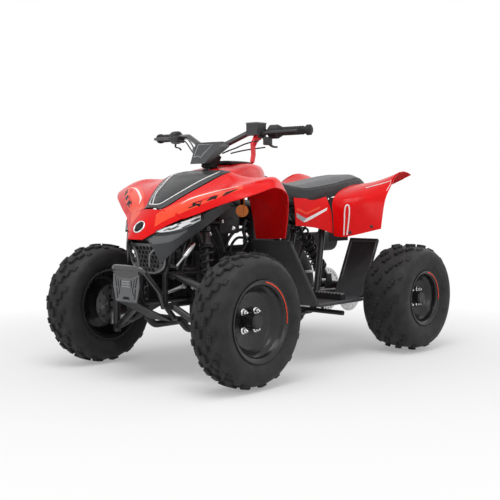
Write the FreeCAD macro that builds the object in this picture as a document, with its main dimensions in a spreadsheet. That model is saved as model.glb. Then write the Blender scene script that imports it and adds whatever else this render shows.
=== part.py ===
import FreeCAD, Part
import math
import os

import Sketcher
from FreeCAD import Placement, Rotation, Vector

# Youth quad bike, millimetres. +X is forward, +Y is the rider's left, +Z is up.
# The origin is on the floor, under the middle of the overall box.

doc = FreeCAD.newDocument("quad_bike")
sheet = doc.addObject("Spreadsheet::Sheet", "sizes")

SIZES = [
    # chassis layout
    ("wheelbase", 1066),
    ("front_half_track", 397),
    ("rear_half_track", 381),
    ("skin", 3.5),
    ("gap", 0.3),
    ("overrun", 4),
    ("running_fit", 0.05),
    # front tyre and wheel
    ("front_tyre_radius", 238),
    ("front_tyre_width", 150),
    ("front_lug_height", 10),
    ("front_lug_count", 14),
    ("front_lip_radius", 145),
    ("front_seat_radius", 127),
    ("front_rim_width", 134),
    ("tyre_wall", 9),
    ("rim_sheet", 4),
    # rear tyre and wheel
    ("rear_tyre_radius", 230),
    ("rear_tyre_width", 210),
    ("rear_lug_height", 11),
    ("rear_lug_count", 12),
    ("rear_lip_radius", 118),
    ("rear_seat_radius", 101.5),
    ("rear_rim_width", 182),
    # front hub, knuckle and brake
    ("kingpin_y", 298),
    ("kingpin_radius", 15),
    ("kingpin_low", 170),
    ("kingpin_high", 292),
    ("spindle_radius", 12),
    ("hub_radius", 30),
    ("hub_flange_radius", 60),
    ("hub_flange_thickness", 6),
    ("hub_nose_radius", 27),
    ("hub_nose_length", 44),
    ("stud_circle_radius", 45),
    ("stud_radius", 5),
    ("nut_radius", 10),
    ("nut_length", 14),
    ("front_disc_radius", 81),
    ("disc_thickness", 3.5),
    ("disc_hole_radius", 4.5),
    ("disc_hole_count", 12),
    ("caliper_length", 62),
    ("caliper_depth", 30),
    ("caliper_width", 44),
    # steering
    ("stem_top_x", 288),
    ("stem_top_z", 838),
    ("stem_low_x", 469),
    ("stem_low_z", 360),
    ("stem_radius", 12.5),
    ("steering_arm", 58),
    ("steering_arm_inset", 10),
    ("steering_arm_z", 205),
    ("pitman_arm", 50),
    ("pitman_half_width", 25),
    ("pitman_thickness", 6),
    ("tie_rod_radius", 7),
    ("tie_rod_ball", 11),
    ("bar_radius", 11),
    ("bar_end_x", 192),
    ("bar_end_y", 401),
    ("bar_end_z", 911),
    ("grip_radius", 16.5),
    ("grip_length", 118),
    # front suspension
    ("arm_radius", 12.5),
    ("arm_pivot_y", 88),
    ("low_arm_z", 268),
    ("low_arm_front_x", 592),
    ("low_arm_rear_x", 464),
    ("high_arm_z", 380),
    ("high_arm_front_x", 578),
    ("high_arm_rear_x", 376),
    ("ball_radius", 15),
    ("shock_top_x", 452),
    ("shock_top_y", 120),
    ("shock_top_z", 520),
    ("shock_low_y", 226),
    ("shock_low_z", 196),
    ("shock_body_radius", 17),
    ("shock_rod_radius", 7),
    ("spring_radius", 27),
    ("spring_wire", 4.5),
    ("spring_turns", 7),
    # frame tubes
    ("frame_tube", 14),
    ("small_tube", 10),
    ("post_radius", 6),
    ("low_rail_y", 92),
    ("low_rail_z", 176),
    ("low_rail_front_x", 560),
    ("low_rail_rear_x", -250),
    ("top_rail_y", 78),
    ("head_x", 330),
    ("head_z", 690),
    ("saddle_rail_x", -120),
    ("saddle_rail_z", 600),
    ("tail_rail_x", -640),
    ("tail_rail_z", 640),
    # engine
    ("crankcase_x", -150),
    ("crankcase_length", 330),
    ("crankcase_half_width", 118),
    ("crankcase_z", 215),
    ("crankcase_height", 190),
    ("cylinder_length", 120),
    ("cylinder_radius", 46),
    ("cylinder_z", 335),
    ("fin_radius", 66),
    ("fin_count", 7),
    # rear end
    ("axle_radius", 16),
    ("sprocket_radius", 92),
    ("sprocket_tooth_count", 28),
    ("sprocket_y", -60),
    ("rear_disc_radius", 88),
    ("rear_disc_y", 72),
    ("swing_pivot_x", -235),
    ("swing_pivot_z", 250),
    ("output_shaft_x", -112),
    ("output_shaft_z", 268),
    ("output_sprocket_radius", 36),
    ("rear_shock_top_x", -208),
    ("rear_shock_top_z", 590),
    ("rear_shock_low_x", -438),
    ("rear_shock_low_z", 312),
    ("carrier_radius", 44),
    ("carrier_half_width", 52),
    # body panels, whose ribs are drawn as shares of these lengths
    ("draw_length", 1000),
    ("draw_width", 1000),
    ("draw_height", 1000),
    ("footwell_z", 232),
    ("footwell_inner_y", 122),
    ("footwell_wall_y", 268),
    ("footwell_floor_y", 320),
    ("footwell_sheet", 6),
    ("peg_tooth_count", 9),
    ("bumper_radius", 10),
]


class Size(float):
    """A length that remembers the sheet expression it came from."""

    def __new__(cls, value, text):
        size = super().__new__(cls, value)
        size.text = text
        return size

    def __add__(self, other):
        return Size(float(self) + float(other), f"({self.text} + {text_of(other)})")

    def __radd__(self, other):
        return Size(float(other) + float(self), f"({text_of(other)} + {self.text})")

    def __sub__(self, other):
        return Size(float(self) - float(other), f"({self.text} - {text_of(other)})")

    def __rsub__(self, other):
        return Size(float(other) - float(self), f"({text_of(other)} - {self.text})")

    def __mul__(self, other):
        return Size(float(self) * float(other), f"({self.text} * {text_of(other)})")

    __rmul__ = __mul__

    def __truediv__(self, other):
        return Size(float(self) / float(other), f"({self.text} / {text_of(other)})")

    def __neg__(self):
        return Size(-float(self), f"(0 - {self.text})")


def text_of(value):
    return getattr(value, "text", None) or f"({float(value)!r})"


class Sizes:
    pass


S = Sizes()
for row, (alias, value) in enumerate(SIZES, start=1):
    sheet.set(f"A{row}", alias)
    sheet.set(f"B{row}", str(value))
    sheet.setAlias(f"B{row}", alias)
    setattr(S, alias, Size(value, f"sizes.{alias}"))
doc.recompute()

front_axle_x = (S.wheelbase + S.rear_tyre_radius - S.front_tyre_radius) / 2
rear_axle_x = front_axle_x - S.wheelbase

nodes = {}


def add(kind, hint):
    return doc.addObject(kind, hint)


def bind(obj, path, value):
    """Set a property and tie it to the sheet when the value came from there."""
    if isinstance(value, Size):
        obj.setExpression(path, value.text)
    elif path.isalpha():
        setattr(obj, path, value)


def place(obj, at=(0, 0, 0), rotation=None):
    obj.Placement = Placement(Vector(*[float(c) for c in at]), rotation or Rotation())
    for axis, value in zip("xyz", at):
        bind(obj, f"Placement.Base.{axis}", value)
    return obj


def node(name, obj):
    obj.Label = name
    nodes[name] = obj
    return obj


def box(low, high):
    obj = add("Part::Box", "block")
    for path, a, b in zip(("Length", "Width", "Height"), low, high):
        bind(obj, path, b - a)
    return place(obj, low)


def between(start, end):
    """Rotation that turns +Z along the line from start to end."""
    direction = Vector(*[float(b) - float(a) for a, b in zip(start, end)])
    return Rotation(Vector(0, 0, 1), direction), direction.Length


def rod(start, end, radius):
    rotation, length = between(start, end)
    obj = add("Part::Cylinder", "rod")
    bind(obj, "Radius", radius)
    obj.Height = length
    return place(obj, start, rotation)


def ball(centre, radius):
    obj = add("Part::Sphere", "ball")
    bind(obj, "Radius", radius)
    return place(obj, centre)


def join(parts):
    obj = add("Part::MultiFuse", "joined")
    obj.Shapes = parts
    return obj


def gather(parts):
    obj = add("Part::Compound", "group")
    obj.Links = parts
    return obj


def cut(base, *tools):
    """Cut by one tool after another, so tools that meet each other do no harm."""
    for tool in tools:
        obj = add("Part::Cut", "cut")
        obj.Base = base
        obj.Tool = tool
        base = obj
    return base


def main_piece(obj):
    """The largest solid, where a cut leaves an offcut behind a thin panel."""
    doc.recompute()
    return feature(max(obj.Shape.Solids, key=lambda solid: solid.Volume))


def mirrored(source):
    obj = add("Part::Mirroring", "mirrored")
    obj.Source = source
    obj.Normal = Vector(0, 1, 0)
    return obj


def feature(shape):
    obj = add("Part::Feature", "formed")
    obj.Shape = shape
    return obj


def corner_arcs(points, bend):
    """Straight runs joined by tangent arcs, as a list of edges."""
    points = [Vector(*[float(c) for c in point]) for point in points]
    edges = []
    last = points[0]
    for before, corner, after in zip(points, points[1:], points[2:]):
        into = (corner - before).normalize()
        out = (after - corner).normalize()
        half = into.getAngle(out) / 2
        runs = min((corner - before).Length, (after - corner).Length)
        reach = min(float(bend) * math.tan(half), runs * bend_share)
        radius = reach / math.tan(half)
        start = corner - into * reach
        end = corner + out * reach
        middle = (out - into).normalize()
        centre = corner + middle * (radius / math.cos(half))
        edges.append(Part.makeLine(last, start))
        edges.append(Part.Arc(start, centre - middle * radius, end).toShape())
        last = end
    edges.append(Part.makeLine(last, points[-1]))
    return edges


bend_share = 0.45


def tube(points, radius, bend):
    edges = corner_arcs(points, bend)
    spine = feature(Part.Wire(edges))
    ring = add("Part::Circle", "ring")
    bind(ring, "Radius", radius)
    place(ring, points[0], between(points[0], points[1])[0])
    obj = add("Part::Sweep", "tube")
    obj.Sections = [ring]
    obj.Spine = (spine, [f"Edge{number}" for number in range(1, len(edges) + 1)])
    obj.Solid = True
    return obj


def origin_item(body, role):
    return next(item for item in body.Origin.OriginFeatures if item.Role == role)


def sketch(body, plane, offset=0):
    obj = body.newObject("Sketcher::SketchObject", "sketch")
    obj.AttachmentSupport = [(origin_item(body, plane), "")]
    obj.MapMode = "FlatFace"
    obj.AttachmentOffset = Placement(Vector(0, 0, float(offset)), Rotation())
    bind(obj, "AttachmentOffset.Base.z", offset)
    return obj


def constrain(obj, wanted):
    """Add dimensions in one step and tie each to its size on the sheet."""
    first = obj.ConstraintCount
    obj.addConstraint([Sketcher.Constraint(*where, float(value)) for where, value in wanted])
    for number, (where, value) in enumerate(wanted):
        bind(obj, f"Constraints[{first + number}]", value)


def pins(geometry, position, u, v):
    return [(("DistanceX", -1, 1, geometry, position), u),
            (("DistanceY", -1, 1, geometry, position), v)]


def polygon(obj, points):
    first = obj.GeometryCount
    count = len(points)
    corners = [Vector(float(u), float(v), 0) for u, v in points]
    obj.addGeometry([Part.LineSegment(here, there)
                     for here, there in zip(corners, corners[1:] + corners[:1])])
    obj.addConstraint([Sketcher.Constraint("Coincident", first + number, 2,
                                           first + (number + 1) % count, 1)
                       for number in range(count)])
    wanted = []
    for number, (u, v) in enumerate(points):
        wanted += pins(first + number, 1, u, v)
    constrain(obj, wanted)


def circle(obj, centre, radius):
    u, v = centre
    at = Vector(float(u), float(v), 0)
    number = obj.addGeometry(Part.Circle(at, Vector(0, 0, 1), float(radius)))
    constrain(obj, pins(number, 3, u, v) + [(("Radius", number), radius)])


def new_body(hint):
    return add("PartDesign::Body", hint)


def turn(body, profile, angle=360, start=0):
    """Revolve a (y, radius) profile about the Y axis of the body, from a start angle."""
    outline = sketch(body, "YZ_Plane")
    outline.AttachmentOffset = Placement(Vector(), Rotation(Vector(1, 0, 0), start))
    polygon(outline, profile)
    obj = body.newObject("PartDesign::Revolution", "turned")
    obj.Profile = outline
    obj.ReferenceAxis = (outline, ["H_Axis"])
    obj.Angle = angle
    return obj


def ring_of(body, features, count):
    obj = body.newObject("PartDesign::PolarPattern", "ring_of_copies")
    obj.Originals = features
    obj.Axis = (origin_item(body, "Y_Axis"), [""])
    obj.Angle = 360
    obj.Occurrences = int(count)
    bind(obj, "Occurrences", count)
    body.Tip = obj
    return obj


def pad(body, plane, outlines, low, high, circles=()):
    """Extrude closed outlines from low to high along the plane's axis."""
    start = -high if plane == "XZ_Plane" else low
    profile = sketch(body, plane, start)
    for outline in outlines:
        polygon(profile, outline)
    for centre, radius in circles:
        circle(profile, centre, radius)
    obj = body.newObject("PartDesign::Pad", "pad")
    obj.Profile = profile
    obj.Length = float(high - low)
    bind(obj, "Length", high - low)
    return obj


def plate(plane, outlines, low, high, circles=()):
    body = new_body("plate")
    pad(body, plane, outlines, low, high, circles)
    return body


def even_knots(count, degree):
    inner = count - degree - 1
    return list(range(inner + 2)), [degree + 1] + [1] * inner + [degree + 1]


def smooth_face(rows, degree=2):
    """A spline skin drawn by the rows of points as its poles, so it never overshoots them."""
    row_degree = min(degree, len(rows) - 1)
    row_knots, row_mults = even_knots(len(rows), row_degree)
    column_knots, column_mults = even_knots(len(rows[0]), degree)
    surface = Part.BSplineSurface()
    surface.buildFromPolesMultsKnots(rows, row_mults, column_mults, row_knots, column_knots,
                                     False, False, row_degree, degree)
    return surface.toShape()


def vectors(rows):
    return [[Vector(*[float(c) for c in point]) for point in row] for row in rows]


def middle_of(edge):
    return edge.valueAt((edge.FirstParameter + edge.LastParameter) / 2)


def rim_between(edge, partner):
    """The straight strip from one edge of a skin to the edge beside it."""
    near = edge.Curve.getPoles()
    far = partner.Curve.getPoles()
    if near[0].distanceToPoint(far[0]) > near[0].distanceToPoint(far[-1]):
        far = far[::-1]
    return smooth_face([near, far])


def solid_between(upper_rows, lower_rows):
    """A solid with two smooth skins: they share an edge, or a rim joins their edges."""
    upper = smooth_face(upper_rows)
    lower = smooth_face(lower_rows)
    close = float(S.running_fit)
    faces = [upper, lower]
    for edge in upper.Edges:
        middle = middle_of(edge)
        partner = min(lower.Edges, key=lambda other: middle_of(other).distanceToPoint(middle))
        ends = [min(there.Point.distanceToPoint(here.Point) for there in partner.Vertexes)
                for here in edge.Vertexes]
        if max(ends) > close:
            faces.append(rim_between(edge, partner))
        elif middle_of(partner).distanceToPoint(middle) > close:
            faces.append(Part.Face(Part.Wire([edge, partner])))
    shell = Part.makeShell(faces)
    shell.sewShape()
    solid = Part.makeSolid(shell)
    if solid.Volume < 0:
        solid.reverse()
    return solid


def thick_shell(rows, thickness):
    """A moulded panel: a smooth skin through rows of points and a second one below it."""
    rows = vectors(rows)
    inner_rows = []
    for number, row in enumerate(rows):
        before = rows[max(number - 1, 0)]
        after = rows[min(number + 1, len(rows) - 1)]
        inner = []
        for column, point in enumerate(row):
            along_way = after[column] - before[column]
            across = row[min(column + 1, len(row) - 1)] - row[max(column - 1, 0)]
            normal = across.cross(along_way).normalize()
            inner.append(point - normal * float(thickness))
        inner_rows.append(inner)
    return solid_between(rows, inner_rows)


# Wheels: tyre, pressed steel rim, hub and brake disc, turned about the Y axis


# The tyre's skin from lip to crown: share of the half width, share of the wall's height
TYRE_SKIN_SHARES = [(1, 0.5), (0.88, 0.87), (0.53, 1)]
# The hollow inside: share of the half width under the crown
TYRE_HOLLOW_SHARE = 0.6


def tyre(half_width, radius, seat, lip, rim_half, lug, lug_rows, lug_count):
    crown = radius - lug
    tuck = rim_half - S.rim_sheet - S.gap
    bead = seat + S.gap
    outer = [(tuck, bead), (tuck, lip + S.gap)]
    for wide, high in TYRE_SKIN_SHARES:
        outer.append((half_width * wide, seat + (crown - seat) * high))
    inner = [(tuck - S.tyre_wall, bead),
             (half_width * TYRE_HOLLOW_SHARE, crown - S.tyre_wall)]
    profile = [(-y, r) for y, r in outer] + outer[::-1] + inner
    profile += [(-y, r) for y, r in inner[::-1]]
    body = new_body("tyre")
    turn(body, profile)
    pitch = 360 / float(lug_count)
    lugs = []
    for near_share, far_share, root_share, length_share, turn_share in lug_rows:
        root = seat + (crown - seat) * root_share
        for side in (1, -1):
            corners = [(half_width * near_share * side, root),
                       (half_width * far_share * side, root),
                       (half_width * far_share * side, radius),
                       (half_width * near_share * side, radius)]
            start = pitch * (turn_share + 0.25 * side)
            lugs.append(turn(body, corners, pitch * length_share, start))
    ring_of(body, lugs, lug_count)
    return body


def wheel_rim(rim_half, lip, seat, well, disc_y, bore):
    """Pressed steel rim: two lips, a well and a dished disc at disc_y."""
    wall = S.rim_sheet
    step = well * 0.86
    ledge = rim_half * 0.62
    drop = rim_half * 0.42
    outside = [(rim_half, lip), (rim_half - wall, lip), (rim_half - wall, seat), (ledge, seat),
               (drop, well)]
    inside = [(rim_half, seat - wall), (ledge + wall, seat - wall), (drop + wall, well - wall)]
    dish = [(disc_y + wall * 3, well - wall), (disc_y + wall * 3, step),
            (disc_y + wall, step - wall), (disc_y + wall, bore), (disc_y, bore), (disc_y, step),
            (disc_y + wall * 2, step + wall), (disc_y + wall * 2, well - wall)]
    profile = [(-y, r) for y, r in outside] + outside[::-1] + inside + dish
    profile += [(-y, r) for y, r in inside[::-1]]
    body = new_body("rim")
    turn(body, profile)
    return body


def ring_places(count, radius):
    for number in range(count):
        angle = 2 * math.pi * (number + 0.5) / count
        yield math.cos(angle), math.sin(angle), radius


def hex_prism(start, direction, radius, length):
    """A six-sided prism from start along a direction."""
    obj = add("Part::Prism", "hexagon")
    obj.Polygon = 6
    bind(obj, "Circumradius", radius)
    bind(obj, "Height", length)
    return place(obj, start, Rotation(Vector(0, 0, 1), direction))


def wheel_nuts(seat_y):
    nuts = []
    for across, up, radius in ring_places(4, S.stud_circle_radius):
        nuts.append(hex_prism((radius * across, seat_y, radius * up), Vector(0, 1, 0),
                              S.nut_radius, S.nut_length))
    return gather(nuts)


def brake_disc(inner_y, radius, bore):
    holes = []
    for across, up, reach in ring_places(int(S.disc_hole_count), radius * 0.8):
        holes.append(((reach * across, reach * up), S.disc_hole_radius))
    holes.append(((0, 0), bore))
    body = new_body("disc")
    profile = sketch(body, "XZ_Plane", -(inner_y + S.disc_thickness))
    circle(profile, (0, 0), radius)
    for centre, size in holes:
        circle(profile, centre, size)
    obj = body.newObject("PartDesign::Pad", "pad")
    obj.Profile = profile
    bind(obj, "Length", S.disc_thickness)
    return body


# Lug rows: near and far edge, root, length and turn, each as a share
FRONT_LUG_SHARES = [(0.07, 0.42, 0.9, 0.34, 0), (0.55, 1, 0.6, 0.32, 0.25)]
REAR_LUG_SHARES = [(0.05, 0.44, 0.9, 0.36, 0), (0.55, 1, 0.6, 0.3, 0.25)]

front_half_width = S.front_tyre_width / 2
rear_half_width = S.rear_tyre_width / 2
front_disc_y = S.front_rim_width * 0.06
rear_disc_seat_y = S.rear_rim_width * 0.16
front_wheel_at = (front_axle_x, S.front_half_track, S.front_tyre_radius)
rear_wheel_at = (rear_axle_x, S.rear_half_track, S.rear_tyre_radius)


def front_hub():
    """Hub with a rim flange, a brake flange and a closed nose over the spindle."""
    inner = S.kingpin_y + S.kingpin_radius * 1.8 - S.front_half_track + S.disc_thickness
    flange = front_disc_y - S.hub_flange_thickness
    bore = S.spindle_radius + S.running_fit
    end = front_disc_y + S.hub_nose_length
    edge = S.hub_nose_radius * 0.2
    profile = [(inner, bore), (inner, S.hub_radius * 1.4),
               (inner + S.hub_flange_thickness, S.hub_radius * 1.4),
               (inner + S.hub_flange_thickness, S.hub_radius), (flange, S.hub_radius),
               (flange, S.hub_flange_radius), (front_disc_y, S.hub_flange_radius),
               (front_disc_y, S.hub_nose_radius), (end - edge, S.hub_nose_radius),
               (end, S.hub_nose_radius - edge), (end, 0), (end * 0.5, 0), (end * 0.5, bore)]
    body = new_body("hub")
    turn(body, profile)
    return body, inner


def pair(name, obj):
    """A left piece and its mirror on the right, as two nodes."""
    node(f"{name}_left", obj)
    node(f"{name}_right", mirrored(obj))


def both(name, obj):
    """A left piece and its mirror on the right, in one node."""
    return node(name, gather([obj, mirrored(obj)]))


pair("front_tyre", place(tyre(
    front_half_width, S.front_tyre_radius, S.front_seat_radius, S.front_lip_radius,
    S.front_rim_width / 2, S.front_lug_height, FRONT_LUG_SHARES, S.front_lug_count),
    front_wheel_at))
front_rim = wheel_rim(S.front_rim_width / 2, S.front_lip_radius, S.front_seat_radius,
                      S.front_seat_radius * 0.88, front_disc_y, S.hub_nose_radius + S.gap)
pair("front_rim", place(join([front_rim, wheel_nuts(front_disc_y + S.rim_sheet)]),
                        front_wheel_at))
hub, hub_inner = front_hub()
pair("front_hub", place(hub, front_wheel_at))
pair("front_brake_disc", place(brake_disc(hub_inner - S.disc_thickness, S.front_disc_radius,
                                          S.spindle_radius * 1.6), front_wheel_at))

both("rear_tyres", place(tyre(
    rear_half_width, S.rear_tyre_radius, S.rear_seat_radius, S.rear_lip_radius,
    S.rear_rim_width / 2, S.rear_lug_height, REAR_LUG_SHARES, S.rear_lug_count),
    rear_wheel_at))
rear_rim = wheel_rim(S.rear_rim_width / 2, S.rear_lip_radius, S.rear_seat_radius,
                     S.rear_seat_radius * 0.87, rear_disc_seat_y, S.hub_nose_radius + S.gap)
both("rear_rims", place(join([rear_rim, wheel_nuts(rear_disc_seat_y + S.rim_sheet)]),
                        rear_wheel_at))

# Rear axle: one shaft, its two hubs, the sprocket and the brake disc turn together


def rear_axle():
    wheel_y = S.rear_half_track + rear_disc_seat_y
    root = wheel_y - S.hub_nose_length * 2
    end = wheel_y + S.hub_nose_length
    edge = S.hub_nose_radius * 0.2
    half = [(root, S.axle_radius), (root, S.hub_radius),
            (wheel_y - S.hub_flange_thickness, S.hub_radius),
            (wheel_y - S.hub_flange_thickness, S.hub_flange_radius),
            (wheel_y, S.hub_flange_radius), (wheel_y, S.hub_nose_radius),
            (end - edge, S.hub_nose_radius), (end, S.hub_nose_radius - edge), (end, 0)]
    body = new_body("axle")
    turn(body, half + [(-y, r) for y, r in half[::-1]])
    return place(body, (rear_axle_x, 0, S.rear_tyre_radius))


def sprocket():
    """A toothed plate on the shaft, with one tooth repeated round its rim."""
    low = S.sprocket_y - S.disc_thickness
    high = S.sprocket_y + S.disc_thickness
    root = S.sprocket_radius * 0.93
    half = math.pi * S.sprocket_radius / S.sprocket_tooth_count
    body = new_body("sprocket")
    plate_sketch = sketch(body, "XZ_Plane", -high)
    circle(plate_sketch, (0, 0), root)
    circle(plate_sketch, (0, 0), S.axle_radius + S.gap)
    disc = body.newObject("PartDesign::Pad", "pad")
    disc.Profile = plate_sketch
    bind(disc, "Length", high - low)
    tooth = pad(body, "XZ_Plane", [[(root * 0.97, -half * 0.6), (S.sprocket_radius, -half * 0.25),
                                    (S.sprocket_radius, half * 0.25), (root * 0.97, half * 0.6)]],
                low, high)
    ring_of(body, [tooth], S.sprocket_tooth_count)
    return place(body, (rear_axle_x, 0, S.rear_tyre_radius))


node("rear_axle", rear_axle())
node("sprocket", sprocket())
node("rear_brake_disc", place(brake_disc(S.rear_disc_y, S.rear_disc_radius,
                                         S.axle_radius + S.gap),
                              (rear_axle_x, 0, S.rear_tyre_radius)))

# Knuckles: a kingpin boss, the spindle, the steering arm and the caliper


arm_eye_half = S.tie_rod_radius * 1.2


def knuckle():
    x, y, z = front_axle_x, S.kingpin_y, S.front_tyre_radius
    boss = rod((x, y, S.kingpin_low), (x, y, S.kingpin_high), S.kingpin_radius)
    tip = S.front_half_track + (front_disc_y + S.hub_nose_length) * 0.45
    spindle = rod((x, y, z), (x, tip, z), S.spindle_radius)
    shoulder = rod((x, y, z), (x, y + S.kingpin_radius * 1.4, z), S.spindle_radius * 1.3)
    end = (x - S.steering_arm, y - S.steering_arm_inset, S.steering_arm_z)
    arm = rod((x, y, S.steering_arm_z), end, arm_eye_half)
    eye = rod((end[0], end[1], end[2] - arm_eye_half), (end[0], end[1], end[2] + arm_eye_half),
              S.tie_rod_ball)
    inner = S.front_half_track + hub_inner - S.disc_thickness * 3.6
    outer = S.front_half_track + hub_inner + S.disc_thickness * 2.6
    near = S.hub_radius * 1.4 + S.kingpin_radius / 2
    clasp = box((x - near - S.caliper_width, inner, z - S.caliper_length / 2),
                (x - near, outer, z + S.caliper_length / 2))
    slot = box((x - S.front_disc_radius * 1.1, S.front_half_track + hub_inner - S.disc_thickness * 2,
                z - S.caliper_length), (x, S.front_half_track + hub_inner + S.disc_thickness,
                                        z + S.caliper_length))
    bracket = box((x - near - S.caliper_width / 2, y + S.kingpin_radius / 2,
                   z - S.caliper_depth / 2),
                  (x, inner + S.disc_thickness, z + S.caliper_depth / 2))
    return join([boss, spindle, shoulder, arm, eye, cut(join([clasp, bracket]), slot)])


pair("knuckle", knuckle())

# Front suspension: two arms and a coil-over each side


def along(start, end, share):
    return tuple(a + (b - a) * share for a, b in zip(start, end))


def suspension_arm(front_x, rear_x, inner_z, joint_low, joint_high, end_z):
    """A wishbone: two tubes from the pivot eyes to the ball joint's housing."""
    x, y = front_axle_x, S.kingpin_y
    eye_half = S.arm_radius * 1.6
    pieces = [rod((x, y, joint_low), (x, y, joint_high), S.ball_radius)]
    for pivot_x in (front_x, rear_x):
        pieces.append(rod((pivot_x - eye_half, S.arm_pivot_y, inner_z),
                          (pivot_x + eye_half, S.arm_pivot_y, inner_z), S.arm_radius * 1.1))
        pieces.append(rod((pivot_x, S.arm_pivot_y, inner_z), (x, y, end_z), S.arm_radius))
    return pieces


low_joint_low = S.kingpin_low - S.ball_radius * 2.6
low_joint_end = low_joint_low + S.ball_radius
low_joint_high = S.kingpin_low - S.gap
high_joint_low = S.kingpin_high + S.gap
high_joint_high = S.kingpin_high + S.ball_radius * 1.7
shock_share = (S.shock_low_y - S.arm_pivot_y) / (S.kingpin_y - S.arm_pivot_y)


def low_arm():
    pieces = suspension_arm(S.low_arm_front_x, S.low_arm_rear_x, S.low_arm_z, low_joint_low,
                            low_joint_high, low_joint_end)
    ends = []
    for pivot_x in (S.low_arm_front_x, S.low_arm_rear_x):
        ends.append(along((pivot_x, S.arm_pivot_y, S.low_arm_z),
                          (front_axle_x, S.kingpin_y, low_joint_end), shock_share))
    pieces.append(rod(ends[0], ends[1], S.arm_radius * 0.9))
    return join(pieces)


def coil_over(top, low, body_radius, rod_radius, coil_radius):
    """A damper turned about its own axis, from the top eye to the bottom eye."""
    direction = Vector(*[float(b) - float(a) for a, b in zip(top, low)])
    length = direction.Length
    rotation = Rotation(Vector(0, 1, 0), direction)
    eye = body_radius * 0.9
    seat = rod_radius
    first = length * 0.1
    last = length * 0.86
    body = new_body("damper")
    turn(body, [(-eye * 0.6, 0), (-eye * 0.6, eye), (first, eye), (first, coil_radius),
                (first + seat, coil_radius), (first + seat, rod_radius),
                (length * 0.45, rod_radius), (length * 0.45, body_radius),
                (last, body_radius), (last, coil_radius), (last + seat, coil_radius),
                (last + seat, eye), (length, eye), (length, 0)])
    place(body, top, rotation)
    spring = new_body("spring")
    inner = body_radius + S.gap * 4
    start = first + seat + S.gap
    stop = last - S.gap
    turns = int(S.spring_turns)
    pitch = (stop - start) / turns
    outline = [(start, inner)]
    for number in range(turns):
        at = start + pitch * number
        outline += [(at, coil_radius), (at + pitch * 0.45, coil_radius),
                    (at + pitch * 0.6, coil_radius - S.spring_wire),
                    (at + pitch * 0.85, coil_radius - S.spring_wire)]
    outline += [(stop, coil_radius), (stop, inner)]
    turn(spring, outline)
    place(spring, top, rotation)
    return body, spring


lower_arm = low_arm()
both("low_arms", lower_arm)
both("high_arms", join(suspension_arm(S.high_arm_front_x, S.high_arm_rear_x, S.high_arm_z,
                                      high_joint_low, high_joint_high,
                                      high_joint_low + S.ball_radius)))
front_damper, front_spring = coil_over(
    (S.shock_top_x, S.shock_top_y, S.shock_top_z),
    (front_axle_x, S.shock_low_y, S.shock_low_z), S.shock_body_radius, S.shock_rod_radius,
    S.spring_radius)
front_damper = cut(front_damper, lower_arm)
far_damper = mirrored(front_damper)

# Steering: an inclined stem with its drop arm, the handlebar and what is on it

stem_top = (S.stem_top_x, 0, S.stem_top_z)
stem_low = (S.stem_low_x, 0, S.stem_low_z)
stem_rotation, stem_length = between(stem_low, stem_top)


def steering_stem():
    shaft = rod(stem_low, stem_top, S.stem_radius)
    arm = plate("XY_Plane", [[
        (-S.pitman_arm - S.tie_rod_ball, -S.pitman_half_width - S.tie_rod_ball),
        (-S.pitman_arm - S.tie_rod_ball, S.pitman_half_width + S.tie_rod_ball),
        (-S.pitman_arm + S.tie_rod_ball, S.pitman_half_width + S.tie_rod_ball),
        (S.stem_radius, S.stem_radius * 1.3), (S.stem_radius, -S.stem_radius * 1.3),
        (-S.pitman_arm + S.tie_rod_ball, -S.pitman_half_width - S.tie_rod_ball)]],
        0, S.pitman_thickness)
    place(arm, stem_low, stem_rotation)
    return join([shaft, arm])


def bar_points():
    rise = S.bar_end_z - S.stem_top_z
    inner_z = S.stem_top_z + S.bar_radius * 2
    side = [(S.stem_top_x, S.bar_end_y * 0.14, inner_z),
            (S.stem_top_x - S.bar_end_y * 0.07, S.bar_end_y * 0.4, S.stem_top_z + rise * 0.93),
            (S.bar_end_x, S.bar_end_y, S.bar_end_z)]
    return [(x, -y, z) for x, y, z in reversed(side)] + side


bar_line = bar_points()
handlebar = tube(bar_line, S.bar_radius, S.bar_radius * 4)
grip_outer = bar_line[-1]
grip_inner = bar_line[-2]
grip_rotation = Rotation(Vector(0, 1, 0), Vector(*[float(b) - float(a) for a, b in
                                                   zip(grip_inner, grip_outer)]))


def grip():
    """A ribbed sleeve with a collar at each end, closed over the bar's end."""
    bore = S.bar_radius + S.gap
    core = S.grip_radius * 0.86
    rib = S.grip_length / 12
    outline = [(-S.grip_length, bore), (-S.grip_length, S.grip_radius * 1.25),
               (-S.grip_length + rib * 0.5, S.grip_radius * 1.25)]
    for number in range(1, 10):
        at = -S.grip_length + rib * number
        outline += [(at, core), (at + rib * 0.2, S.grip_radius),
                    (at + rib * 0.7, S.grip_radius), (at + rib * 0.9, core)]
    end = S.bar_radius
    outline += [(-rib, core), (-rib * 0.8, S.grip_radius * 1.2), (end * 0.6, S.grip_radius * 1.2),
                (end, S.grip_radius * 0.8), (end, 0), (S.gap, 0), (S.gap, bore)]
    body = new_body("grip")
    turn(body, outline)
    return place(body, grip_outer, grip_rotation)


def switch_box():
    """The control housing clamped round the bar, inboard of the grip."""
    bore = S.bar_radius + S.gap
    near = -S.grip_length - S.gap * 2
    body = new_body("switch_box")
    turn(body, [(near, bore), (near, S.grip_radius * 1.35), (near - S.grip_radius * 0.4,
                S.grip_radius * 1.6), (near - S.grip_radius * 2.2, S.grip_radius * 1.6),
                (near - S.grip_radius * 2.6, S.grip_radius * 1.2),
                (near - S.grip_radius * 2.6, bore)])
    return place(body, grip_outer, grip_rotation)


node("steering_stem", steering_stem())
node("handlebar", handlebar)
both("grips", grip())
both("switch_boxes", switch_box())

# Tie rods hang on the steering arms and end just below the drop arm


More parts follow.
